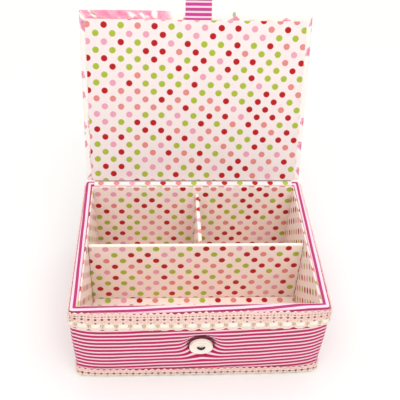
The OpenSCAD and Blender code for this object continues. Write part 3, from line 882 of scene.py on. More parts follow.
class Skin:
    """The outside of the four padded walls: front, right, back and left in turn."""

    CORNER = 8.0  # the part of each wall's end that goes round the corner, as a radius
    # how far the stripes have slipped, on the walls and at the rim: walls passed, and millimetres
    SLIP = ((0, -1.6), (0.11, -1.35), (0.2, -2.0), (0.36, -3.8), (0.65, -7.0), (0.75, -8.5))
    SLIP += ((0.92, -11.6), (1, -13.5), (2, -13.2), (3, -12.8), (4, -12.4))
    RIM_SLIP = ((0, 2.8), (0.27, 1.35), (0.53, -1.9), (0.63, -3.0), (0.77, -5.0), (0.9, -8.2))
    RIM_SLIP += ((1, -9.0), (2, -6.6), (3, -4.8), (4, -7.8))

    def __init__(self, walls, fastening):
        self.walls, self.fastening = walls, fastening
        wide, deep = walls.rim_width / 2, walls.rim_depth / 2
        self.along = np.array([wide, deep, wide, deep])
        self.out = np.array([deep, wide, deep, wide])
        self.bulge = np.array([walls.front_swell, walls.side_swell, 0.0, walls.side_swell])
        self.arc = self.CORNER * math.pi / 4
        self.flat = self.along - self.CORNER
        self.reach = self.flat + self.arc
        self.start = np.concatenate([[0.0], np.cumsum(2 * self.reach)])
        self.length = self.start[-1]

    def wall(self, round_at):
        """The wall at a place round the box, and the place along it from its middle."""
        round_at = np.mod(round_at, self.length)
        wall = np.clip(np.searchsorted(self.start, round_at, side="right") - 1, 0, 3)
        return wall, round_at - self.start[wall] - self.reach[wall]

    def swell(self, height):
        """How full the padding is at a height, from 0 to 1."""
        foot = self.walls.foot
        rise = np.clip((height - foot) / (self.walls.rim_height - foot), 0, 1)
        low, high = 1 - 0.6 * (1 - 2 * rise) ** 3, 1 - (2 * rise - 1) ** 3
        return np.where(rise < 0.5, low, high)

    def tuft(self, along, height):
        """How far the button pulls the front in."""
        east = along - self.fastening[0]
        north = height - self.fastening[1] - self.walls.tuft_lift
        apart = np.hypot(east, north)
        walls = self.walls
        fade = np.clip((apart - walls.tuft_flat) / (walls.tuft_reach - walls.tuft_flat), 0, 1)
        pull = (1 - fade) ** 4.5
        # nine soft pleats that run out from the button
        pleat = 0.12 * np.cos(9 * np.arctan2(north, east) + 0.6) * np.minimum(1, fade * 5)
        return walls.tuft_depth * pull * (1 + pleat * np.exp(-(((apart - 17) / 6) ** 2)))

    def turned(self, wall, along, out, height):
        """Points of a wall as points of the box."""
        x = np.choose(wall, [along, out, -along, -out])
        y = np.choose(wall, [-out, along, out, -along])
        return np.stack([x, y, height], axis=-1)

    def points(self, round_at, height, offset=0.0):
        """Points at places round the box and heights, offset outwards."""
        round_at, height, offset = np.broadcast_arrays(
            np.asarray(round_at, float), np.asarray(height, float), np.asarray(offset, float)
        )
        wall, place = self.wall(round_at)
        side, far, flat = np.sign(place), np.abs(place), self.flat[wall]
        turn = np.clip((far - flat) / self.arc, 0, 1) * math.pi / 4
        share_ = np.clip(far / flat, 0, 1) * side
        fill, walls = self.swell(height), self.walls
        low = np.clip(1 - (height - walls.foot) / walls.foot_round, 0, 1)
        offset = offset - walls.foot_round * (1 - np.sqrt(1 - low**2))
        radius = walls.rim_corner + (walls.belly_corner - walls.rim_corner) * fill + offset
        rise = np.clip((height - walls.foot) / (walls.rim_height - walls.foot), 0, 1)
        plump, sunk = walls.plump * np.sin(math.pi * rise**1.4), walls.shoulder * fill * (1 - low)
        in_front = np.where(wall == 1, side < 0, (wall == 3) & (side > 0))
        ends = self.along[wall] + offset + np.where(wall % 2, -sunk * in_front, plump)
        along = share_ * (ends - radius) + side * radius * np.sin(turn)
        # the front stays full almost to its corners, and the other walls bow evenly
        crown, edge = self.bulge[wall] * fill, np.abs(share_) ** 13
        front = crown * (1 - 0.3 * share_**2) - (0.7 * crown + sunk) * edge
        others = crown * (1 - share_**2) + np.where(wall % 2, plump * share_**4, 0)
        out = self.out[wall] + offset - radius + radius * np.cos(turn)
        out = out + np.where(wall == 0, front, others)
        # the cloth was stretched by hand, so it isn't quite even
        hand = np.sin(along / 13 + height / 9) + np.sin(along / 5.7 - height / 14 + wall)
        out = out + 0.11 * fill * (1 - share_**2) * hand * (self.bulge[wall] > 0)
        out = out - np.where(wall == 0, self.tuft(along, height), 0)
        return self.turned(wall, along, out, height)

    def slip(self, round_at, keys):
        """How far the stripes have slipped at places round the box."""
        walls, slips = np.array(keys, float).T
        return np.interp(round_at, np.interp(walls, np.arange(5), self.start), slips)

    def square(self, round_at, inset, height):
        """Points on a square-cornered ring inside the rim, across from places round the box."""
        wall, place = self.wall(np.asarray(round_at, float))
        far = np.abs(place)
        end = self.flat[wall] + self.CORNER * math.sin(math.pi / 4)
        bent = self.CORNER * np.sin(np.clip((far - self.flat[wall]) / self.arc, 0, 1) * math.pi / 4)
        share_ = np.sign(place) * (np.minimum(far, self.flat[wall]) + bent) / end
        heights = np.full_like(share_, height)
        return self.turned(wall, share_ * (self.along[wall] - inset), self.out[wall] - inset, heights)

    def stations(self, front=3.0, others=6.0, corner=5):
        """Places round the box: closer along the front and round the corners."""
        places = []
        for wall in range(4):
            step = front if wall == 0 else others
            flat, middle = self.flat[wall], self.start[wall] + self.reach[wall]
            count = int(math.ceil(2 * flat / step))
            arc = np.linspace(0, self.arc, corner + 1)
            places.append(middle - flat - arc[:0:-1])
            places.append(middle + np.linspace(-flat, flat, count + 1))
            places.append(middle + flat + arc[1:-1])
        return np.concatenate(places)


def walls_skin():
    """The walls' outside, with the pull of the button where the button is."""
    low, high = box_of("front_button")
    return Skin(Millimetres(settings().walls), ((low.x + high.x) / 2, (low.z + high.z) / 2))


def button_pit():
    """Where the pull of the button is on the flat cover, and how far the shade painted round it reaches."""
    skin = walls_skin()
    around = skin.reach[0] + skin.fastening[0]
    up = skin.fastening[1] + 0.9 + float(skin.slip(around, skin.SLIP))
    return around, up, skin.walls.tuft_flat + 0.4


class SEWINGBOX_OT_wall_wadding(bpy.types.Operator):
    """Fill the four walls with wadding between the boards and the cover"""

    bl_idname = "sewing_box.wall_wadding"
    bl_label = "Wall wadding"

    def execute(self, context):
        skin = walls_skin()
        walls = skin.walls
        heights = np.concatenate([[walls.foot + 1.2], np.linspace(4, walls.rim_height - 2.4, 40)])
        for wall, name in enumerate(["front", "right", "back", "left"]):
            middle, flat = skin.start[wall] + skin.reach[wall], skin.flat[wall]
            places = middle + np.linspace(-flat, flat, 73 if wall == 0 else 37)
            across, up = np.meshgrid(places, heights)
            outer = skin.points(across, up, -walls.cotton - 0.12)
            _, along = skin.wall(across)
            board = np.full_like(up, skin.out[wall] - walls.board_face + 0.02)
            inner = skin.turned(np.full(up.shape, wall), along, board, up)
            pad = smooth(pad_between(f"{name}_wadding_pad", outer, inner), 60)
            dress(pad, "wadding", "wadding", f"{name}_wadding")
        return {"FINISHED"}


class SEWINGBOX_OT_striped_cover(bpy.types.Operator):
    """Stretch the striped cotton round the walls, over the rim and under the base"""

    bl_idname = "sewing_box.striped_cover"
    bl_label = "Striped cover"

    def execute(self, context):
        skin = walls_skin()
        walls = skin.walls
        places = skin.stations()
        top, foot, cloth = walls.rim_height, walls.foot, walls.cotton
        rows, ups = [], []

        def add(points, up):
            rows.append(points)
            ups.append(up)

        # round the foot and up the wall
        for turn in np.radians([0, 22, 45, 67]):
            height = foot + walls.foot_round * (1 - math.cos(turn))
            add(skin.points(places, height), height)
        roll = 0.9
        for height in np.linspace(foot + walls.foot_round, top - roll - 0.4, 49):
            add(skin.points(places, height), height)
        # over the rim, across it and down inside the wall
        for turn in np.radians([0, 18, 36, 54, 72, 90]):
            inset, height = roll * (1 - math.cos(turn)), top - roll + roll * math.sin(turn)
            ring = skin.points(places, top - roll, -inset)
            ring[..., 2] = height
            add(ring, top - roll + roll * turn)
        fold, inner = 1.5, walls.lining_back
        outer_edge, up = rows[-1], ups[-1]
        inner_edge = skin.square(places, inner - fold, top)
        for part in (0.25, 0.5, 0.75):
            ring = outer_edge + (inner_edge - outer_edge) * part
            ring[..., 2] = top + 0.12 * math.sin(math.pi * part)
            add(ring, up + (inner - fold - roll) * part)
        up += inner - fold - roll
        for turn in np.radians([0, 30, 60, 90]):
            inset, height = inner - fold + fold * math.sin(turn), top - fold + fold * math.cos(turn)
            add(skin.square(places, inset, height), up + fold * turn)
        up += fold * math.pi / 2
        for drop in (4.0, 8.0, walls.turn_in):
            add(skin.square(places, inner, top - drop), up + drop - fold)
        up += walls.turn_in
        # back along the cloth's inner face, and under the base
        add(skin.square(places, inner - cloth, top - walls.turn_in), up + cloth)
        add(skin.square(places, inner - cloth, top - 4), up + 8)
        add(skin.square(places, inner - cloth - 0.1, top - cloth - 0.1), up + 12)
        seen_rows = len(rows)
        for height in np.linspace(top - roll, foot + 2, 40):
            add(skin.points(places, height, -cloth), height)
        add(skin.points(places, foot + cloth + 0.1, -cloth - 0.3), foot)
        add(skin.square(places, walls.turn_under, foot + cloth), foot - walls.turn_under)
        add(skin.square(places, walls.turn_under, foot), foot - walls.turn_under - cloth)
        points, ups = np.array(rows), np.array(ups + [foot - 0.5])
        around = np.concatenate([places, [places[0] + skin.length]])
        slip, at_rim = skin.slip(around, skin.SLIP), skin.slip(around, skin.RIM_SLIP)
        # behind the upper lace the stripes pass from the walls' slip to the rim's
        lace_low, lace_high = 75, 94
        rim = np.clip((ups - lace_low) / (lace_high - lace_low), 0, 1)
        rim = rim * (np.arange(len(ups)) < seen_rows)
        flats = np.empty((len(ups), len(around), 2))
        flats[..., 0] = around
        flats[..., 1] = ups[:, None] + slip + (at_rim - slip) * rim[:, None]
        cover = cloth_grid("striped_cover_cotton", points, flats, True, True)
        smooth(cover, 70)
        dress(cover, "striped_cotton", "striped_cotton", "striped_cover")
        return {"FINISHED"}


# Lace


def ring_of(middle, wide, high, count=8):
    """Points of an oval."""
    steps = [2 * math.pi * (i + 0.5) / count for i in range(count)]
    return [(middle[0] + wide * math.cos(s), middle[1] + high * math.sin(s)) for s in steps]


def lace_figure(name, edge, holes, repeat, cuts_up):
    """One flat figure of a lace: an outline with holes, filled, and cut where it will bend."""
    flat = bpy.data.curves.new(name, "CURVE")
    flat.dimensions, flat.fill_mode = "2D", "FRONT"
    for ring in [edge, *holes]:
        add_line(flat, [(*spot, 0) for spot in ring], True)
    figure = piece_from_curve(name, flat)
    shape = bmesh.new()
    shape.from_mesh(figure.data)
    bmesh.ops.remove_doubles(shape, verts=shape.verts, dist=1e-6)
    cuts_across = np.arange(LACE_FIRST, repeat - 0.1, LACE_FIRST)
    planes = [((across * MM, 0, 0), (1, 0, 0)) for across in cuts_across]
    planes += [((0, up * MM, 0), (0, 1, 0)) for up in cuts_up]
    for point, normal in planes:
        bmesh.ops.bisect_plane(
            shape,
            geom=[*shape.verts, *shape.edges, *shape.faces],
            plane_co=point,
            plane_no=normal,
            dist=1e-7,
        )
    shape.verts.index_update()
    points = np.array([v.co[:2] for v in shape.verts]) / MM
    faces = []
    for face in shape.faces:
        order = [v.index for v in face.verts]
        faces.append(order if face.normal.z > 0 else order[::-1])
    shape.free()
    bpy.data.objects.remove(figure)
    return points, faces


def flat_area(points, faces):
    """Area of a flat figure."""
    total = 0.0
    for face in faces:
        across, up = points[face].T
        total += abs(across @ np.roll(up, -1) - up @ np.roll(across, -1)) / 2
    return total


class LaceCords:
    """Cords and knots of one figure of a lace, as across, up, and out from the cover."""

    def __init__(self):
        self.points, self.faces = [], []

    def cord(self, path, radius, bead=0.0, sides=5):
        """A cord along a path; bead makes it swell and narrow like a chain stitch."""
        path = np.array(path, float)
        ahead = np.gradient(path, axis=0)
        ahead /= np.linalg.norm(ahead, axis=1, keepdims=True)
        side = np.stack([-ahead[:, 1], ahead[:, 0], np.zeros(len(path))], axis=1)
        side /= np.maximum(np.linalg.norm(side, axis=1, keepdims=True), 1e-9)
        out = np.cross(ahead, side)
        run = np.concatenate([[0], np.cumsum(np.linalg.norm(np.diff(path, axis=0), axis=1))])
        thick = radius * (1 + bead * np.sin(2 * np.pi * run / 2.6))
        first = len(self.points)
        for spot, wide, s, o in zip(path, thick, side, out):
            for turn in 2 * np.pi * np.arange(sides) / sides:
                self.points.append(spot + wide * (math.cos(turn) * s + math.sin(turn) * o))
        for row in range(len(path) - 1):
            for k in range(sides):
                a, b = first + row * sides + k, first + row * sides + (k + 1) % sides
                self.faces.append([a, b, b + sides, a + sides])
        last = first + (len(path) - 1) * sides
        self.faces.append([first + k for k in reversed(range(sides))])
        self.faces.append([last + k for k in range(sides)])

    def line(self, start, end, out, radius, bead=0.0, step=1.3):
        """A straight cord."""
        count = max(3, int(math.hypot(end[0] - start[0], end[1] - start[1]) / step) + 1)
        self.cord([(*point, out) for point in np.linspace(start, end, count)], radius, bead)

    def wave(self, span, level, height, turns, out, radius, bead=0.0, count=15):
        """A waving cord."""
        path = []
        for across, part in zip(np.linspace(*span, count), np.linspace(0, 1, count)):
            rise = math.sin(2 * math.pi * turns * part)
            path.append((across, level + height * rise, out))
        self.cord(path, radius, bead)

    def knot(self, middle, half, columns=12, rows=6):
        """A puffed block of stitches."""
        first = len(self.points)
        middle, half = np.array(middle, float), np.array(half, float)
        self.points.append(middle + half * (0, 0, 1))
        for row in range(1, rows):
            low = math.pi * row / rows
            for column in range(columns):
                turn = 2 * math.pi * column / columns
                bend = np.array([math.cos(turn), math.sin(turn)])
                bend = np.sign(bend) * np.abs(bend) ** 0.62
                self.points.append(middle + half * (*(math.sin(low) * bend), math.cos(low)))
        self.points.append(middle - half * (0, 0, 1))
        last = len(self.points) - 1
        for column in range(columns):
            beside = (column + 1) % columns
            self.faces.append([first, first + 1 + column, first + 1 + beside])
            for row in range(rows - 2):
                a, b = first + 1 + row * columns + column, first + 1 + row * columns + beside
                self.faces.append([a, a + columns, b + columns, b])
            end = first + 1 + (rows - 2) * columns
            self.faces.append([last, end + beside, end + column])


def lace_round(name, skin, figure, foot, rise):
    """Repeats a figure, whose points are across, up and out, round the box and lays it on the cover."""
    points, faces = figure
    walls = skin.walls
    count = round(skin.length / walls.lace_pitch)
    stretch = skin.length / count / walls.lace_repeat
    all_points, all_faces, places = [], [], []
    flat = [points[v][:2] for face in faces for v in face]
    for copy in range(count):
        around = (points[:, 0] + copy * walls.lace_repeat) * stretch
        turn, free = 2 * math.pi * around / skin.length, points[:, 1] / 20
        # the lace was sewn on by hand, so its free edge wanders, and it rises in front
        around = around + 0.45 * free * np.sin(17 * turn)
        sway = 0.5 * np.sin(6 * turn + 1) + 0.35 * np.sin(23 * turn) + 0.2 * np.sin(47 * turn + 2)
        lift = rise * np.clip((88 - skin.points(around, foot)[:, 1]) / 40, 0, 1) + sway * free
        up, out = foot + points[:, 1] + lift, walls.lace_gap + points[:, 2]
        all_points.append(skin.points(around, up, out))
        first = copy * len(points)
        all_faces.extend([first + v for v in face] for face in faces)
        places.extend(flat)
    return piece_from(name, np.concatenate(all_points), all_faces, places)


def lace_ground(name, skin, figure, foot, rise):
    """The lace's pierced ground, one closed band of cloth round the box."""
    points, faces = figure
    points = np.concatenate([points, np.zeros((len(points), 1))], axis=1)
    band = lace_round(name, skin, (points, faces), foot, rise)
    close_up(band, 0.02, False)
    thicken(band, skin.walls.lace_cord, 1.0)
    return smooth(band, 50)


def lace_cords(name, skin, cords, foot, rise):
    """The lace's raised cords and knots, repeated round the box."""
    band = lace_round(name, skin, (np.array(cords.points), cords.faces), foot, rise)
    return smooth(close_up(band), 75)


class SEWINGBOX_OT_lace_bands(bpy.types.Operator):
    """Sew the wide lace under the rim and the narrow lace round the foot"""

    bl_idname = "sewing_box.lace_bands"
    bl_label = "Lace bands"

    def execute(self, context):
        skin = walls_skin()
        repeat = skin.walls.lace_repeat
        self.upper(skin, repeat, skin.walls.upper_lace)
        self.lower(skin, repeat, skin.walls.lower_lace)
        return {"FINISHED"}

    def edges(self, repeat, foot, notch, power, head):
        """The foot, with one notch a figure, and the head, with two bumps, each as flat points."""
        across = np.linspace(0, repeat, 17)
        turn = math.pi * (across - LACE_FIRST) / repeat
        low, high = foot + notch * np.abs(np.sin(turn)) ** power, head - 2.4 * np.sin(2 * turn) ** 2
        return np.stack([across, low], axis=1), np.stack([across, high], axis=1)

    def upper(self, skin, repeat, width):
        """Puffed blocks between bars, arches over the bars, rows of holes and an edge of bumps."""
        block, bar, quarter = LACE_FIRST, LACE_FIRST + repeat / 2, repeat / 4
        foot, head = self.edges(repeat, 0.4, 2.5, 4, width - 0.6)
        holes = [ring_of((bar + x, 6.2), 0.4, 1.6) for x in (-1.7, 1.7)]
        holes.append(ring_of((block, 10.5), 0.65, 0.55))
        for across in (block, bar):
            holes.append(ring_of((across, 14.8), 0.95, 1.15))
            holes.append(ring_of((across, 18.0), 0.85, 0.55))
            holes.append(ring_of((across + quarter, 18.0), 0.4, 0.45))
        ground = lace_figure("lace", [*foot, *head[::-1]], holes, repeat, (3.0, 8.0, 12.2, 16.5))
        cords = LaceCords()
        cords.cord([(x, y + 0.2, 0.95) for x, y in foot], 0.62, 0.25)
        cords.knot((block, 6.0, 0.85), (4.8, 3.1, 1.1))
        for across in (-0.55, 0.55):
            cords.line((bar + across, 3.4), (bar + across, 9.6), 0.95, 0.45, 0.2)
        cords.wave((block, block + repeat), 9.1, 2.2, 0.5, 1.05, 0.62, 0.3)
        cords.wave((block, block + repeat), 11.7, 1.0, 0.5, 0.95, 0.5, 0.3)
        for across in (block + quarter, bar + quarter):
            for beside, lean in ((-0.75, 0.9), (0.0, 0.0), (0.75, -0.9)):
                cords.line((across + beside, 12.2), (across + beside - lean, 16.5), 0.9, 0.5, 0.2)
        cords.line((0, 16.5), (repeat, 16.5), 0.95, 0.48, 0.3)
        cords.line((0, 19.5), (repeat, 19.5), 0.9, 0.48, 0.3)
        cords.cord([(x, y, 0.9) for x, y in head], 0.58, 0.25)
        walls = skin.walls
        self.sew("upper_lace", skin, ground, cords, walls.upper_lace_foot, walls.lace_rise, width)

    def lower(self, skin, repeat, width):
        """A scalloped foot, a row of holes and an edge of bumps."""
        first, quarter = LACE_FIRST, repeat / 4
        foot, head = self.edges(repeat, 0.4, 1.3, 2, width - 0.6)
        pair = (first, first + repeat / 2)
        holes = [ring_of((across, 5.0), 1.15, 1.05) for across in pair]
        ground = lace_figure("lace", [*foot, *head[::-1]], holes, repeat, (3.0, 7.2))
        cords = LaceCords()
        cords.cord([(x, y + 0.3, 0.9) for x, y in foot], 0.58, 0.25)
        cords.line((0, 3.3), (repeat, 3.3), 0.9, 0.5, 0.3)
        for across in pair:
            beside = across + quarter
            cords.line((beside - 0.9, 3.6), (beside + 0.9, 7.0), 0.85, 0.45, 0.2)
            cords.line((beside - 0.9, 7.0), (beside + 0.9, 3.6), 1.0, 0.45, 0.2)
            cords.line((across - 0.6, 7.4), (across - 0.6, 10.6), 0.85, 0.42)
            cords.line((across + 0.6, 7.4), (across + 0.6, 10.6), 0.85, 0.42)
        cords.line((0, 7.2), (repeat, 7.2), 0.95, 0.5, 0.3)
        cords.cord([(x, y, 0.9) for x, y in head], 0.55, 0.25)
        self.sew("lower_lace", skin, ground, cords, skin.walls.lower_lace_foot, 0.0, width)

    def sew(self, name, skin, ground, cords, foot, rise, width):
        """Lays the pierced ground and its raised cords round the box."""
        band = lace_ground(f"{name}_band", skin, ground, foot, rise)
        dress(band, f"{name}_cotton", "lace", name)
        raised = lace_cords(f"{name}_cords", skin, cords, foot, rise)
        dress(raised, f"{name}_cotton", "lace")
        skin.length * MM
        flat_area(*ground) * skin.length / skin.walls.lace_repeat * MM * MM


# Linings and dividers


def dots_by_side(shift=(0.0, 0.0), slant=0.0):
    """Flat places by the way that a face looks: front and back, sides, or floor."""
    cos, sin = math.cos(math.radians(slant)), math.sin(math.radians(slant))

    def place(point, normal):
        facing = max(range(3), key=lambda axis: abs(normal[axis]))
        across, up = [(point.y, point.z), (point.x, point.z), (point.x, point.y)][facing]
        return (across * cos - up * sin + shift[0], across * sin + up * cos + shift[1])

    return place


class SEWINGBOX_OT_wall_linings(bpy.types.Operator):
    """Set the cloth-covered cards inside the walls and on the floor"""

    bl_idname = "sewing_box.wall_linings"
    bl_label = "Wall linings"

    # where the dots of each panel start
    SHIFTS = {
        "front": (3.0, 2.0),
        "back": (4.6, 1.2),
        "left": (1.0, 4.0),
        "right": (6.0, 6.5),
        "floor": (0.0, 12.0),
    }

    def execute(self, context):
        for side, shift in self.SHIFTS.items():
            low, high = box_of(f"{side}_lining_cloth")
            panel = soft_box(f"{side}_lining_panel", low, high, 0.45)
            lay_flat_places(panel, dots_by_side(shift, 0.5))
            dress(panel, "dotted_lining", "dotted_cotton", f"{side}_lining_cloth")
        return {"FINISHED"}


class SEWINGBOX_OT_dividers(bpy.types.Operator):
    """Wrap the two dividers in dotted cotton, folded over their top edges"""

    bl_idname = "sewing_box.dividers"
    bl_label = "Dividers"

    def execute(self, context):
        # shifts of the dots on the faces; shift along, height and spread on the top edge
        plans = (("long", 1, (7.5, 3.0), (0, 5.25, 0)), ("cross", 0, (2.0, 8.0), (2.1, 5.53, 1)))
        for name, thin, shift, top in plans:
            low, high = box_of(f"{name}_divider_cloth")
            sleeve = soft_box(f"{name}_divider_sleeve", low, high, 1.25, 4)
            lay_flat_places(sleeve, self.over_the_top(low, high, thin, shift, top))
            dress(sleeve, "dotted_lining", "dotted_cotton", f"{name}_divider_cloth")
            span = (high[1 - thin] - low[1 - thin], high.z - low.z)
        return {"FINISHED"}

    def over_the_top(self, low, high, thin, shift, top):
        """Flat places that run up one face, over the top edge and down the other."""

        def place(point, normal):
            along = point[1 - thin] + shift[0]
            if normal.z > 0.5:
                return (along + top[0], DOT_REPEAT * top[1] + (point[thin] - high[thin]) * top[2])
            if normal[thin] > 0:
                return (along, 2 * high.z - point.z + high[thin] - low[thin] + shift[1])
            return (along, point.z + shift[1])

        return place


class SEWINGBOX_OT_base_sheet(bpy.types.Operator):
    """Glue the plain cotton sheet under the base"""

    bl_idname = "sewing_box.base_sheet"
    bl_label = "Base sheet"

    def execute(self, context):
        low, high = box_of("base_sheet")
        sheet = soft_box("base_cotton_sheet", low, high, 0.22, 2)
        lay_flat_places(sheet, lambda point, normal: (point.x, point.y))
        dress(sheet, "base_cotton", "base_cotton", "base_sheet")
        flat = ((high.x - low.x) * MM, (high.y - low.y) * MM)
        return {"FINISHED"}


# Button


class SEWINGBOX_OT_front_button(bpy.types.Operator):
    """Turn the dished two-hole button and sew it on with a slack double thread"""

    bl_idname = "sewing_box.front_button"
    bl_label = "Front button"

    HOLE_PITCH = 6.5  # between the middles of its holes
    HOLE = 0.95  # radius of a hole
    LEAN = 6.0  # degrees that its top stands out

    def execute(self, context):
        low, high = box_of("front_button")
        middle = (low + high) / 2
        radius, thick = (high.x - low.x) / 2, high.y - low.y
        button = self.turned_button(middle, radius, thick)
        dress(button, "button_ivory", "button", "front_button")
        thread = self.sewn_thread(middle, low.y, high.y)
        lean = Matrix.Translation(middle * MM) @ Matrix.Rotation(math.radians(self.LEAN), 4, "X")
        for piece in (button, thread):
            piece.data.transform(lean @ Matrix.Translation(-middle * MM))
        dress(thread, "button_thread", "thread", "button_thread")
        return {"FINISHED"}

    def cylinder(self, radius, depth, middle, vertices):
        """A cylinder that lies from front to back."""
        bpy.ops.object.select_all(action="DESELECT")
        bpy.ops.mesh.primitive_cylinder_add(
            vertices=vertices,
            radius=radius * MM,
            depth=depth * MM,
            location=Vector(middle) * MM,
            rotation=(math.pi / 2, 0, 0),
        )
        piece = bpy.context.active_object
        bpy.ops.object.transform_apply(location=True, rotation=True, scale=True)
        return piece

    def turned_button(self, middle, radius, thick):
        """A disc with a rim, a dished face and two holes."""
        button = self.cylinder(radius, thick, middle, 72)
        button.name = button.data.name = "sewn_button"
        bpy.ops.object.mode_set(mode="EDIT")
        bpy.ops.mesh.select_mode(type="FACE")
        for inset, sink in ((1.5, 0.0), (0.9, 0.55), (2.2, 0.15)):
            shape = bmesh.from_edit_mesh(button.data)
            caps = [f for f in shape.faces if len(f.verts) > 8 and f.normal.y < -0.9]
            front = max(caps, key=lambda f: len(f.verts))
            bpy.ops.mesh.select_all(action="DESELECT")
            front.select = True
            bmesh.update_edit_mesh(button.data)
            bpy.ops.mesh.inset(thickness=inset * MM, depth=-sink * MM)
        bpy.ops.mesh.select_all(action="DESELECT")
        bpy.ops.object.mode_set(mode="OBJECT")
        for side in (-1, 1):
            place = (middle.x + side * self.HOLE_PITCH / 2, middle.y, middle.z)
            drill = self.cylinder(self.HOLE, 4 * thick, place, 24)
            cut = button.modifiers.new("hole", "BOOLEAN")
            cut.operation, cut.solver, cut.object = "DIFFERENCE", "EXACT", drill
            apply_modifiers(button)
            bpy.data.objects.remove(drill)
        soften(button, 0.55, 3, 35)
        return smooth(apply_modifiers(button), 50)

    def sewn_thread(self, middle, front, back):
        """Two strands that sag between the holes, and a shank behind the button."""
        curve = bpy.data.curves.new("sewn_thread", "CURVE")
        curve.dimensions, curve.bevel_depth, curve.bevel_resolution = "3D", 0.78 * MM, 3
        curve.use_fill_caps = True
        half = self.HOLE_PITCH / 2
        for lift, sag in ((0.35, 1.0), (-0.35, 1.75)):
            strand = []
            for step in np.linspace(-1, 1, 17):
                bow = 1 - step**2
                strand.append((step * half, front + 0.25 - 0.55 * bow, lift * 0.6 - sag * bow))
            strand = [(-half, back - 0.2, lift * 0.4)] + strand + [(half, back - 0.2, lift * 0.4)]
            add_line(curve, [(middle.x + x, y, middle.z + z) for x, y, z in strand])
        return smooth(piece_from_curve("sewn_thread", curve), 60)


# Lid


class LidPlace:
    """Places on the lid: across, from the hinge line, and out from its inner face, in millimetres."""

    def __init__(self):
        self.hinge = np.array(LID_JOINT["pos_m"]) / MM
        self.open = math.radians(-min(LID_JOINT["range_deg"]))

    def points(self, across, along, out):
        across, along, out = np.broadcast_arrays(
            np.asarray(across, float), np.asarray(along, float), np.asarray(out, float)
        )
        cos, sin = math.cos(self.open), math.sin(self.open)
        y = self.hinge[1] - along * cos + out * sin
        z = self.hinge[2] + along * sin + out * cos
        return np.stack([across, y, z], axis=-1)

    def matrix(self):
        """The lid's flat frame, across, along and inwards, as a matrix in metres."""
        cos, sin = math.cos(self.open), math.sin(self.open)
        turn = Matrix(((1, 0, 0), (0, -cos, -sin), (0, sin, -cos))).to_4x4()
        return Matrix.Translation(Vector(self.hinge) * MM) @ turn


def lid_outline(lid, inset):
    """Places round the lid's edge, inset, each with the way out from it."""
    half = lid.width / 2 - inset
    rear, front = lid.rear + inset, lid.length - inset
    radius = max(lid.corner - inset, 1.2)
    points, ways = [], []
    corners = (
        (half - radius, rear + radius, -90),
        (half - radius, front - radius, 0),
        (-half + radius, front - radius, 90),
        (-half + radius, rear + radius, 180),
    )
    for number, (x, y, start) in enumerate(corners):
        for turn in np.radians(start + np.linspace(0, 90, 7)):
            points.append((x + radius * math.cos(turn), y + radius * math.sin(turn)))
            ways.append((math.cos(turn), math.sin(turn)))
        ahead = corners[(number + 1) % 4]
        turn = math.radians(start + 90)
        first = Vector(points[-1])
        last = Vector((ahead[0] + radius * math.cos(turn), ahead[1] + radius * math.sin(turn)))
        count = 34 if number % 2 == 0 else 44
        for step in np.linspace(0, 1, count + 1)[1:-1]:
            points.append(tuple(first.lerp(last, step)))
            ways.append((math.cos(turn), math.sin(turn)))
    return np.array(points), np.array(ways)


def lid_crown(lid, across, along):
    """Height of the padded lid over its inner face."""
    middle, half = (lid.rear + lid.length) / 2, (lid.length - lid.rear) / 2
    wide = np.clip(np.abs(across) / (lid.width / 2), 0, 1)
    deep = np.clip(np.abs(along - middle) / half, 0, 1)
    hand = 0.16 * (np.sin(across / 17 + along / 29) + np.sin(along / 13 - across / 31 + 1))
    full = (1 - wide**4) * (1 - deep**4)
    return lid.edge_top + (lid.crown + hand) * full


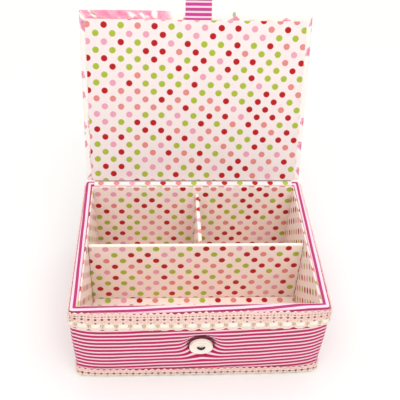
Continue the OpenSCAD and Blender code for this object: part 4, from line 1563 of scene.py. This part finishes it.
class SEWINGBOX_OT_lid_padding(bpy.types.Operator):
    """Pad the lid board with wadding and stretch the flowered cotton over it"""

    bl_idname = "sewing_box.lid_padding"
    bl_label = "Lid padding and cover"

    COVER = 0.55  # thickness of the flowered cotton
    SLOPE = 0.55  # how steeply the padding rises from the lid's edge

    def execute(self, context):
        lid, place = Millimetres(settings().lid), LidPlace()
        self.wadding(lid, place)
        self.cover(lid, place)
        return {"FINISHED"}

    def wadding(self, lid, place):
        """A crowned pad on the lid board, thin at its edges."""
        inset = 1.2
        across, along = np.meshgrid(
            np.linspace(-lid.width / 2 + inset, lid.width / 2 - inset, 49),
            np.linspace(lid.rear + inset, lid.length - inset, 39),
        )
        top = lid_crown(lid, across, along) - self.COVER - 0.12
        edge = np.minimum(lid.width / 2 - np.abs(across), along - lid.rear)
        edge = np.minimum(edge, lid.length - along)
        top = np.minimum(top, lid.board_top + 0.7 + self.SLOPE * (edge - inset))
        outer = place.points(across[:, ::-1], along, top[:, ::-1])
        inner = place.points(across[:, ::-1], along, np.full_like(top, lid.board_top + 0.02))
        pad = smooth(close_up(pad_between("lid_wadding_pad", outer, inner), 0.002), 60)
        dress(pad, "wadding", "wadding", "lid_wadding", body="lid")

    def cover(self, lid, place):
        """The flowered cotton, from its turn-under round the lid's edges to the crown."""
        # inset from the edge, height over the inner face, and puff of the cloth there
        sides = [
            (18.0, lid.lining, 0),
            (12.0, lid.lining, 0),
            (6.0, lid.lining, 0),
            (2.4, lid.lining, 0),
            (1.0, lid.lining + 0.2, 0),
            (0.25, lid.lining + 0.75, 0.1),
            (0.0, lid.lining + 1.6, 0.3),
            (0.0, lid.lining + 2.7, 0.45),
            (0.15, lid.lining + 3.7, 0.4),
            (0.6, lid.lining + 4.5, 0.2),
            (1.35, lid.lining + 5.05, 0),
        ]
        tops = [2.6, 4.2, 6.5, 10, 15, 22, 31, 42, 54, 67, 80, 90]
        last_inset, last_out, _ = sides[-1]
        rows, flats, run, before = [], [], 0.0, None
        for inset, out, puff in reversed(sides):
            edge, ways = lid_outline(lid, inset)
            free = np.clip((edge[:, 1] - 20) / 60, 0, 1)
            wave = 0.6 + 0.4 * np.sin(edge[:, 0] / 21 + edge[:, 1] / 17)
            spot = edge + ways * (puff * free * wave)[:, None]
            run += 0 if before is None else math.hypot(inset - before[0], out - before[1])
            before = (inset, out)
            base, _ = lid_outline(lid, last_inset)
            rows.append(place.points(spot[:, 0], spot[:, 1], out))
            flats.append(base + ways * run)
        rows, flats = rows[::-1], flats[::-1]
        for inset in tops:
            spot, _ = lid_outline(lid, inset)
            most = last_out + self.SLOPE * (inset - last_inset)
            out = np.minimum(lid_crown(lid, spot[:, 0], spot[:, 1]), most)
            rows.append(place.points(spot[:, 0], spot[:, 1], out))
            flats.append(spot)
        points, flats = np.array(rows), np.array(flats)
        count = points.shape[1]
        flats = np.concatenate([flats, flats[:, :1]], axis=1)
        faces, corners = grid_faces(len(points), count, True)
        places = [flats[r, c] for r, c in corners]
        last = (len(points) - 1) * count
        faces.append([last + c for c in range(count)])
        places += [flats[-1, c] for c in range(count)]
        cover = piece_from("lid_cover_cotton", points.reshape(-1, 3), faces, places)
        self.turn_out(cover, place)
        thicken(cover, self.COVER, -1.0)
        smooth(cover, 60)
        dress(cover, "flowered_cotton", "flowered_cotton", "lid_cover", body="lid")

    def turn_out(self, cover, place):
        """Turns the faces so that the crown looks away from the lid's inner face."""
        away = Vector(place.points(0, 0, 1) - place.points(0, 0, 0))
        crown = max(cover.data.polygons, key=lambda face: face.area)
        if crown.normal.dot(away) < 0:
            cover.data.flip_normals()


class SEWINGBOX_OT_lid_lining(bpy.types.Operator):
    """Set the dotted lining card into the lid"""

    bl_idname = "sewing_box.lid_lining"
    bl_label = "Lid lining"

    def execute(self, context):
        lid, place = Millimetres(settings().lid), LidPlace()
        low = (-lid.lining_width / 2, lid.lining_rear, -lid.lining)
        high = (lid.lining_width / 2, lid.lining_front, 0)
        panel = soft_box("lid_lining_panel", low, high, 0.6)
        lay_flat_places(panel, dots_by_side((3.2, 10.4), 1.0))
        panel.data.transform(place.matrix())
        nodes = ("lid_lining_cloth", "lid_lining_card")
        dress(panel, "dotted_cotton", "dotted_cotton", *nodes, body="lid")
        flat = (lid.lining_width * MM, (lid.lining_front - lid.lining_rear) * MM)
        return {"FINISHED"}


# Hinge cloths and strap


def bent_sheet(name, path, width, step, thickness, start=0.0):
    """A sheet that follows a path of (y, z) points, with its flat place along the path."""
    path = np.array(path, float)
    steps = np.concatenate([[0], np.cumsum(np.hypot(*np.diff(path, axis=0).T))])
    across = np.linspace(-width / 2, width / 2, int(width / step) + 1)
    points = np.empty((len(path), len(across), 3))
    points[..., 0] = across
    points[..., 1:] = path[:, None, :]
    flats = np.empty((len(path), len(across), 2))
    flats[..., 0], flats[..., 1] = across, start + steps[:, None]
    sheet = cloth_grid(name, points, flats)
    thicken(sheet, thickness, 0.0, 0.12)
    return smooth(sheet, 50), steps[-1]


def eased(corners, radius=1.2, count=5):
    """A path with its corners rounded."""
    path = [corners[0]]
    for before, here, after in zip(corners, corners[1:], corners[2:]):
        before, here, after = Vector(before), Vector(here), Vector(after)
        reach = min(radius, (here - before).length / 2.1, (after - here).length / 2.1)
        first = here + (before - here).normalized() * reach
        last = here + (after - here).normalized() * reach
        for step in np.linspace(0, 1, count):
            path.append(tuple(first.lerp(here, step).lerp(here.lerp(last, step), step)))
    return path + [corners[-1]]


class SEWINGBOX_OT_hinge_cloths(bpy.types.Operator):
    """Hang the lid on its dotted inner strip and its flowered rear flap"""

    bl_idname = "sewing_box.hinge_cloths"
    bl_label = "Hinge cloths"

    def execute(self, context):
        lid, place = Millimetres(settings().lid), LidPlace()
        low, _ = box_of("hinge_lining_strip")
        top = low.z + 0.2
        hinge = place.hinge

        def on_lid(along, out):
            return tuple(place.points(0, along, out)[1:])

        inside = box_of("back_lining_cloth")[1].y - 0.2
        # up the back lining, over the rim, through the groove at the hinge and up the lid
        groove = [(hinge[1] - 0.1, top - 0.75), (hinge[1] + 1.1, top - 0.35)]
        corners = [(inside, top - 3.2), (inside, top), (hinge[1] - 1.3, top)]
        corners += [*groove, on_lid(0.9, 1.4), on_lid(13.3, 1.4)]
        strip, length = bent_sheet(
            "hinge_strip_cotton", eased(corners, 0.8), lid.strip_width, 6.0, 0.4, 97.7
        )
        dress(strip, "hinge_cotton", "dotted_cotton", "hinge_lining_strip", body=None)
        end = Vector((0, *on_lid(1.6, 1.4))) * MM
        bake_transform(strip)
        lid.strip_width * MM
        length * MM
        low, high = box_of("rear_hinge_flap")
        wall = low.y + 0.15
        corners = [(wall, low.z), (wall, hinge[2] - 2.4), on_lid(-0.15, 2.6), on_lid(-0.15, 5.8)]
        flap, length = bent_sheet("rear_flap_cotton", eased(corners), lid.flap_width, 6.0, 0.3)
        dress(flap, "flowered_cotton", "flowered_cotton", "rear_hinge_flap", body=None)
        end = Vector((0, *on_lid(-0.15, 2.6))) * MM
        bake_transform(flap)
        lid.flap_width * MM
        length * MM
        return {"FINISHED"}


class SEWINGBOX_OT_closing_strap(bpy.types.Operator):
    """Sew the striped strap with its worked buttonhole, and tuck it into the lid"""

    bl_idname = "sewing_box.closing_strap"
    bl_label = "Closing strap"

    def execute(self, context):
        lid, place = Millimetres(settings().lid), LidPlace()
        low, high = box_of("closing_strap")
        middle = (low.x + high.x) / 2
        fold = np.array(FOLD_JOINT["pos_m"]) / MM
        reach = fold - place.hinge
        along = -reach[1] * math.cos(place.open) + reach[2] * math.sin(place.open)
        out = reach[1] * math.sin(place.open) + reach[2] * math.cos(place.open)

        def spot(across, run):
            bow = lid.strap_bow * math.sin(math.pi * min(max(run / lid.strap_length, 0), 1))
            return place.points(middle + across, along + run, out + bow)

        self.spot = spot
        strap = self.strap(lid)
        dress(strap, "strap_cotton", "striped_cotton", "strap_tuck", "closing_strap", body=None)
        stitches = self.stitches(lid, place)
        dress(stitches, "strap_thread", "thread", body=None)
        start = Vector(self.spot(0, -1.6).tolist()) * MM
        end = Vector(self.spot(0, 1.6).tolist()) * MM
        for piece in (strap, stitches):
            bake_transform(piece)
        flat = (lid.strap_width * MM, (lid.strap_length + lid.strap_tuck) * MM)
        return {"FINISHED"}

    def half_width(self, lid, run):
        """Half the strap's width, less where its end is rounded."""
        into = run - (lid.strap_length - lid.strap_corner)
        if into <= 0:
            return lid.strap_width / 2
        drop = lid.strap_corner - math.sqrt(max(lid.strap_corner**2 - into**2, 0))
        return lid.strap_width / 2 - drop

    def strap(self, lid):
        """The doubled strap, with rows and columns that leave out the buttonhole."""
        hole = lid.buttonhole_place
        runs = list(np.arange(-lid.strap_tuck, -3, 3)) + [-2, -1.2, -0.6, 0, 0.6, 1.2, 2]
        runs += list(np.arange(4, hole - lid.buttonhole / 2 - 1, 2))
        runs += list(np.linspace(hole - lid.buttonhole / 2, hole + lid.buttonhole / 2, 13))
        runs += list(np.linspace(lid.strap_length - lid.strap_corner - 3, lid.strap_length, 12))
        runs = sorted(set(round(float(run), 3) for run in runs))
        gap = lid.buttonhole_gap / 2
        sides = [gap, 1.6, 3.2, 6, 9, 11.5, 12.8, lid.strap_width / 2]
        columns = [-s for s in reversed(sides)] + sides
        points, flats = [], []
        for run in runs:
            narrow = self.half_width(lid, run) / (lid.strap_width / 2)
            points.append([self.spot(c * narrow, run) for c in columns])
            flats.append([(c, run) for c in columns])
        points, flats = np.array(points), np.array(flats)
        faces, corners = grid_faces(len(runs), len(columns))
        slot = len(sides) - 1
        kept, places = [], []
        for number, face in enumerate(faces):
            row, column = divmod(number, len(columns) - 1)
            middle = (runs[row] + runs[row + 1]) / 2
            if column == slot and abs(middle - hole) <= lid.buttonhole / 2:
                continue
            kept.append(face)
            places += [flats[r, c] for r, c in corners[4 * number : 4 * number + 4]]
        strap = piece_from("closing_strap_cotton", points.reshape(-1, 3), kept, places)
        thicken(strap, lid.strap, 0.0, 0.3)
        return smooth(strap, 50)

    def stitches(self, lid, place):
        """Running stitches along both edges and close stitches round the buttonhole."""
        near = np.array(place.points(0, 0, -1) - place.points(0, 0, 0))
        made = []
        for side in (-1, 1):
            for run in np.arange(3, lid.strap_length - 4, 2.6):
                edge = side * (self.half_width(lid, run) - 1.7)
                made.append(((edge, run), (edge, run + 1.7)))
        hole, half = lid.buttonhole_place, lid.buttonhole / 2
        for run in np.arange(hole - half, hole + half + 0.1, 0.85):
            for side in (-1, 1):
                made.append(((side * (lid.buttonhole_gap / 2), run), (side * 2.6, run)))
        for end in (-1, 1):
            for across in np.arange(-2.4, 2.5, 0.8):
                first, last = hole + end * (half + 0.2), hole + end * (half + 2.2)
                made.append(((across, first), (across, last)))
        points, faces = [], []
        for face in (1, -1):
            for first, last in made:
                self.add_stitch(points, faces, first, last, near * face, lid.strap / 2)
        stitches = piece_from("strap_stitches", points, faces)
        return smooth(close_up(stitches, 0.002), 60)

    def add_stitch(self, points, faces, first, last, near, lift):
        """One low stitch with a rounded back, lying on the strap."""
        first, last = np.array(first), np.array(last)
        way = (last - first) / np.linalg.norm(last - first)
        side = np.array([-way[1], way[0]]) * 0.27
        start = len(points)
        # place along the stitch, rise of its back and share of its width
        rings = ((0.0, -0.1, 0.7), (0.25, 0.22, 1.0), (0.75, 0.22, 1.0), (1.0, -0.1, 0.7))
        for share_, rise, wide in rings:
            spot = first + (last - first) * share_
            for across, up in ((-1, -0.15), (-0.6, rise), (0.6, rise), (1, -0.15)):
                corner = spot + side * across * wide
                points.append(self.spot(*corner) + near * (lift + up))
        for row in range(3):
            for k in range(4):
                a, b = start + 4 * row + k, start + 4 * row + (k + 1) % 4
                faces.append([a, b, b + 4, a + 4])
        faces.append([start + k for k in (3, 2, 1, 0)])
        faces.append([start + 12 + k for k in range(4)])


# Boards and stage


class SEWINGBOX_OT_board_finishes(bpy.types.Operator):
    """Give the boards and cards of the frame their finishes"""

    bl_idname = "sewing_box.board_finishes"
    bl_label = "Board finishes"

    def execute(self, context):
        for name, node in frame["nodes"].items():
            ending = name.rsplit("_", 1)[-1]
            finish = {"board": "greyboard", "card": "lining_card"}.get(ending)
            if finish:
                node.data.materials.clear()
                node.data.materials.append(finish_for(finish))
        return {"FINISHED"}


class SEWINGBOX_OT_stage(bpy.types.Operator):
    """Set up the camera, the soft lamps and the pale floor"""

    bl_idname = "sewing_box.stage"
    bl_label = "Camera, lamps and floor"

    GLOW = 0.05  # how much of the floor's tone the camera sees without its shading

    def execute(self, context):
        studio = settings().studio
        self.camera(context, studio)
        self.world(context, studio)
        self.floor(studio)
        key = self.lamp(context, "key_lamp", "AREA", studio.key, (0.1, -0.85, 1.2))
        key.size = 1.2
        sky = self.lamp(context, "sky_lamp", "SUN", studio.sky, (0.03, -0.15, 1.6))
        sky.angle = math.radians(80)
        context.scene.view_settings.view_transform = "Standard"
        return {"FINISHED"}

    def camera(self, context, studio):
        """The camera at its place, by its pitch, yaw and roll."""
        lens = bpy.data.cameras.new("camera")
        lens.sensor_width, lens.lens = 36, studio.lens
        lens.shift_x, lens.shift_y = studio.shift_across, studio.shift_up
        lens.clip_start = 0.01
        camera = bpy.data.objects.new("camera", lens)
        context.scene.collection.objects.link(camera)
        pitch, yaw, roll = studio.pitch, studio.yaw, studio.roll
        ahead = Vector(
            (math.sin(yaw) * math.cos(pitch), math.cos(yaw) * math.cos(pitch), -math.sin(pitch))
        )
        right = Vector((math.cos(yaw), -math.sin(yaw), 0))
        up = right.cross(ahead)
        across = right * math.cos(roll) + up * math.sin(roll)
        upward = up * math.cos(roll) - right * math.sin(roll)
        turn = Matrix((across, upward, -ahead)).transposed().to_4x4()
        camera.matrix_world = Matrix.Translation(studio.camera_place) @ turn
        context.scene.camera = camera

    def seen(self, nodes):
        """A mask that is 1 for what the camera sees, also by reflection or through glass."""
        path = nodes.node("ShaderNodeLightPath")
        rays = ("Is Camera Ray", "Is Glossy Ray", "Is Transmission Ray")
        first, second, third = (Wire(nodes, path.outputs[name]) for name in rays)
        return first.most(second).most(third)

    def mix(self, nodes, mask, first, second, output):
        """Shows one shader where a mask is 0 and another where it is 1."""
        shaders = {0: mask, 1: first.outputs[0], 2: second.outputs[0]}
        nodes.show(output, nodes.node("ShaderNodeMixShader", None, shaders))

    def world(self, context, studio):
        """Even light from all round, and the plain background that the camera sees."""
        world = bpy.data.worlds.new("studio")
        context.scene.world = world
        nodes = Nodes(world)
        light = nodes.node(
            "ShaderNodeBackground",
            None,
            {"Color": (1.0, 0.985, 0.97, 1), "Strength": studio.daylight},
        )
        view = nodes.node("ShaderNodeBackground", None, {"Color": studio.background})
        self.mix(nodes, self.seen(nodes), light, view, "ShaderNodeOutputWorld")

    def floor(self, studio):
        """A wide matt floor that keeps the box's shadow."""
        bpy.ops.object.select_all(action="DESELECT")
        bpy.ops.mesh.primitive_plane_add(size=40, location=(0, 0, 0))
        floor = bpy.context.active_object
        floor.name = floor.data.name = "floor"
        material = bpy.data.materials.new("floor")
        nodes = Nodes(material)
        matt = nodes.node("ShaderNodeBsdfDiffuse", None, {"Color": studio.floor})
        glow = nodes.node("ShaderNodeEmission", None, {"Color": studio.background})
        self.mix(nodes, self.seen(nodes) * self.GLOW, matt, glow, "ShaderNodeOutputMaterial")
        floor.data.materials.append(material)

    def lamp(self, context, name, kind, power, place):
        """A lamp that looks at the box."""
        light = bpy.data.lights.new(name, kind)
        light.energy, light.color = power, (1.0, 0.985, 0.965)
        lamp = bpy.data.objects.new(name, light)
        context.scene.collection.objects.link(lamp)
        lamp.location = place
        way = Vector((0, 0.02, 0.1)) - Vector(place)
        lamp.rotation_euler = way.to_track_quat("-Z", "Y").to_euler()
        return light


class SEWINGBOX_PT_panel(bpy.types.Panel):
    """Sizes, colours and steps of the sewing box"""

    bl_idname = "SEWINGBOX_PT_panel"
    bl_label = "Sewing box"
    bl_space_type = "VIEW_3D"
    bl_region_type = "UI"
    bl_category = "Sewing box"

    def draw(self, context):
        for step in STEPS:
            self.layout.operator(step.bl_idname)
        for group in (settings().walls, settings().lid, settings().colours, settings().studio):
            column = self.layout.box().column()
            for name in group.bl_rna.properties.keys():
                if name not in {"rna_type", "name"}:
                    column.prop(group, name)


STEPS = (
    SEWINGBOX_OT_stage,
    SEWINGBOX_OT_board_finishes,
    SEWINGBOX_OT_wall_wadding,
    SEWINGBOX_OT_striped_cover,
    SEWINGBOX_OT_lace_bands,
    SEWINGBOX_OT_wall_linings,
    SEWINGBOX_OT_dividers,
    SEWINGBOX_OT_base_sheet,
    SEWINGBOX_OT_front_button,
    SEWINGBOX_OT_lid_padding,
    SEWINGBOX_OT_lid_lining,
    SEWINGBOX_OT_hinge_cloths,
    SEWINGBOX_OT_closing_strap,
)
GROUPS = (WallSizes, LidSizes, ClothColours, StudioSettings, SewingBox)


def register():
    for part in (*GROUPS, *STEPS, SEWINGBOX_PT_panel):
        bpy.utils.register_class(part)
    bpy.types.Scene.sewing_box = PointerProperty(type=SewingBox)


def unregister():
    del bpy.types.Scene.sewing_box
    for part in reversed((*GROUPS, *STEPS, SEWINGBOX_PT_panel)):
        bpy.utils.unregister_class(part)


def main():
    register()
    for step in STEPS:
        group, name = step.bl_idname.split(".")
        getattr(getattr(bpy.ops, group), name)()


if __name__ == "__main__":
    main()
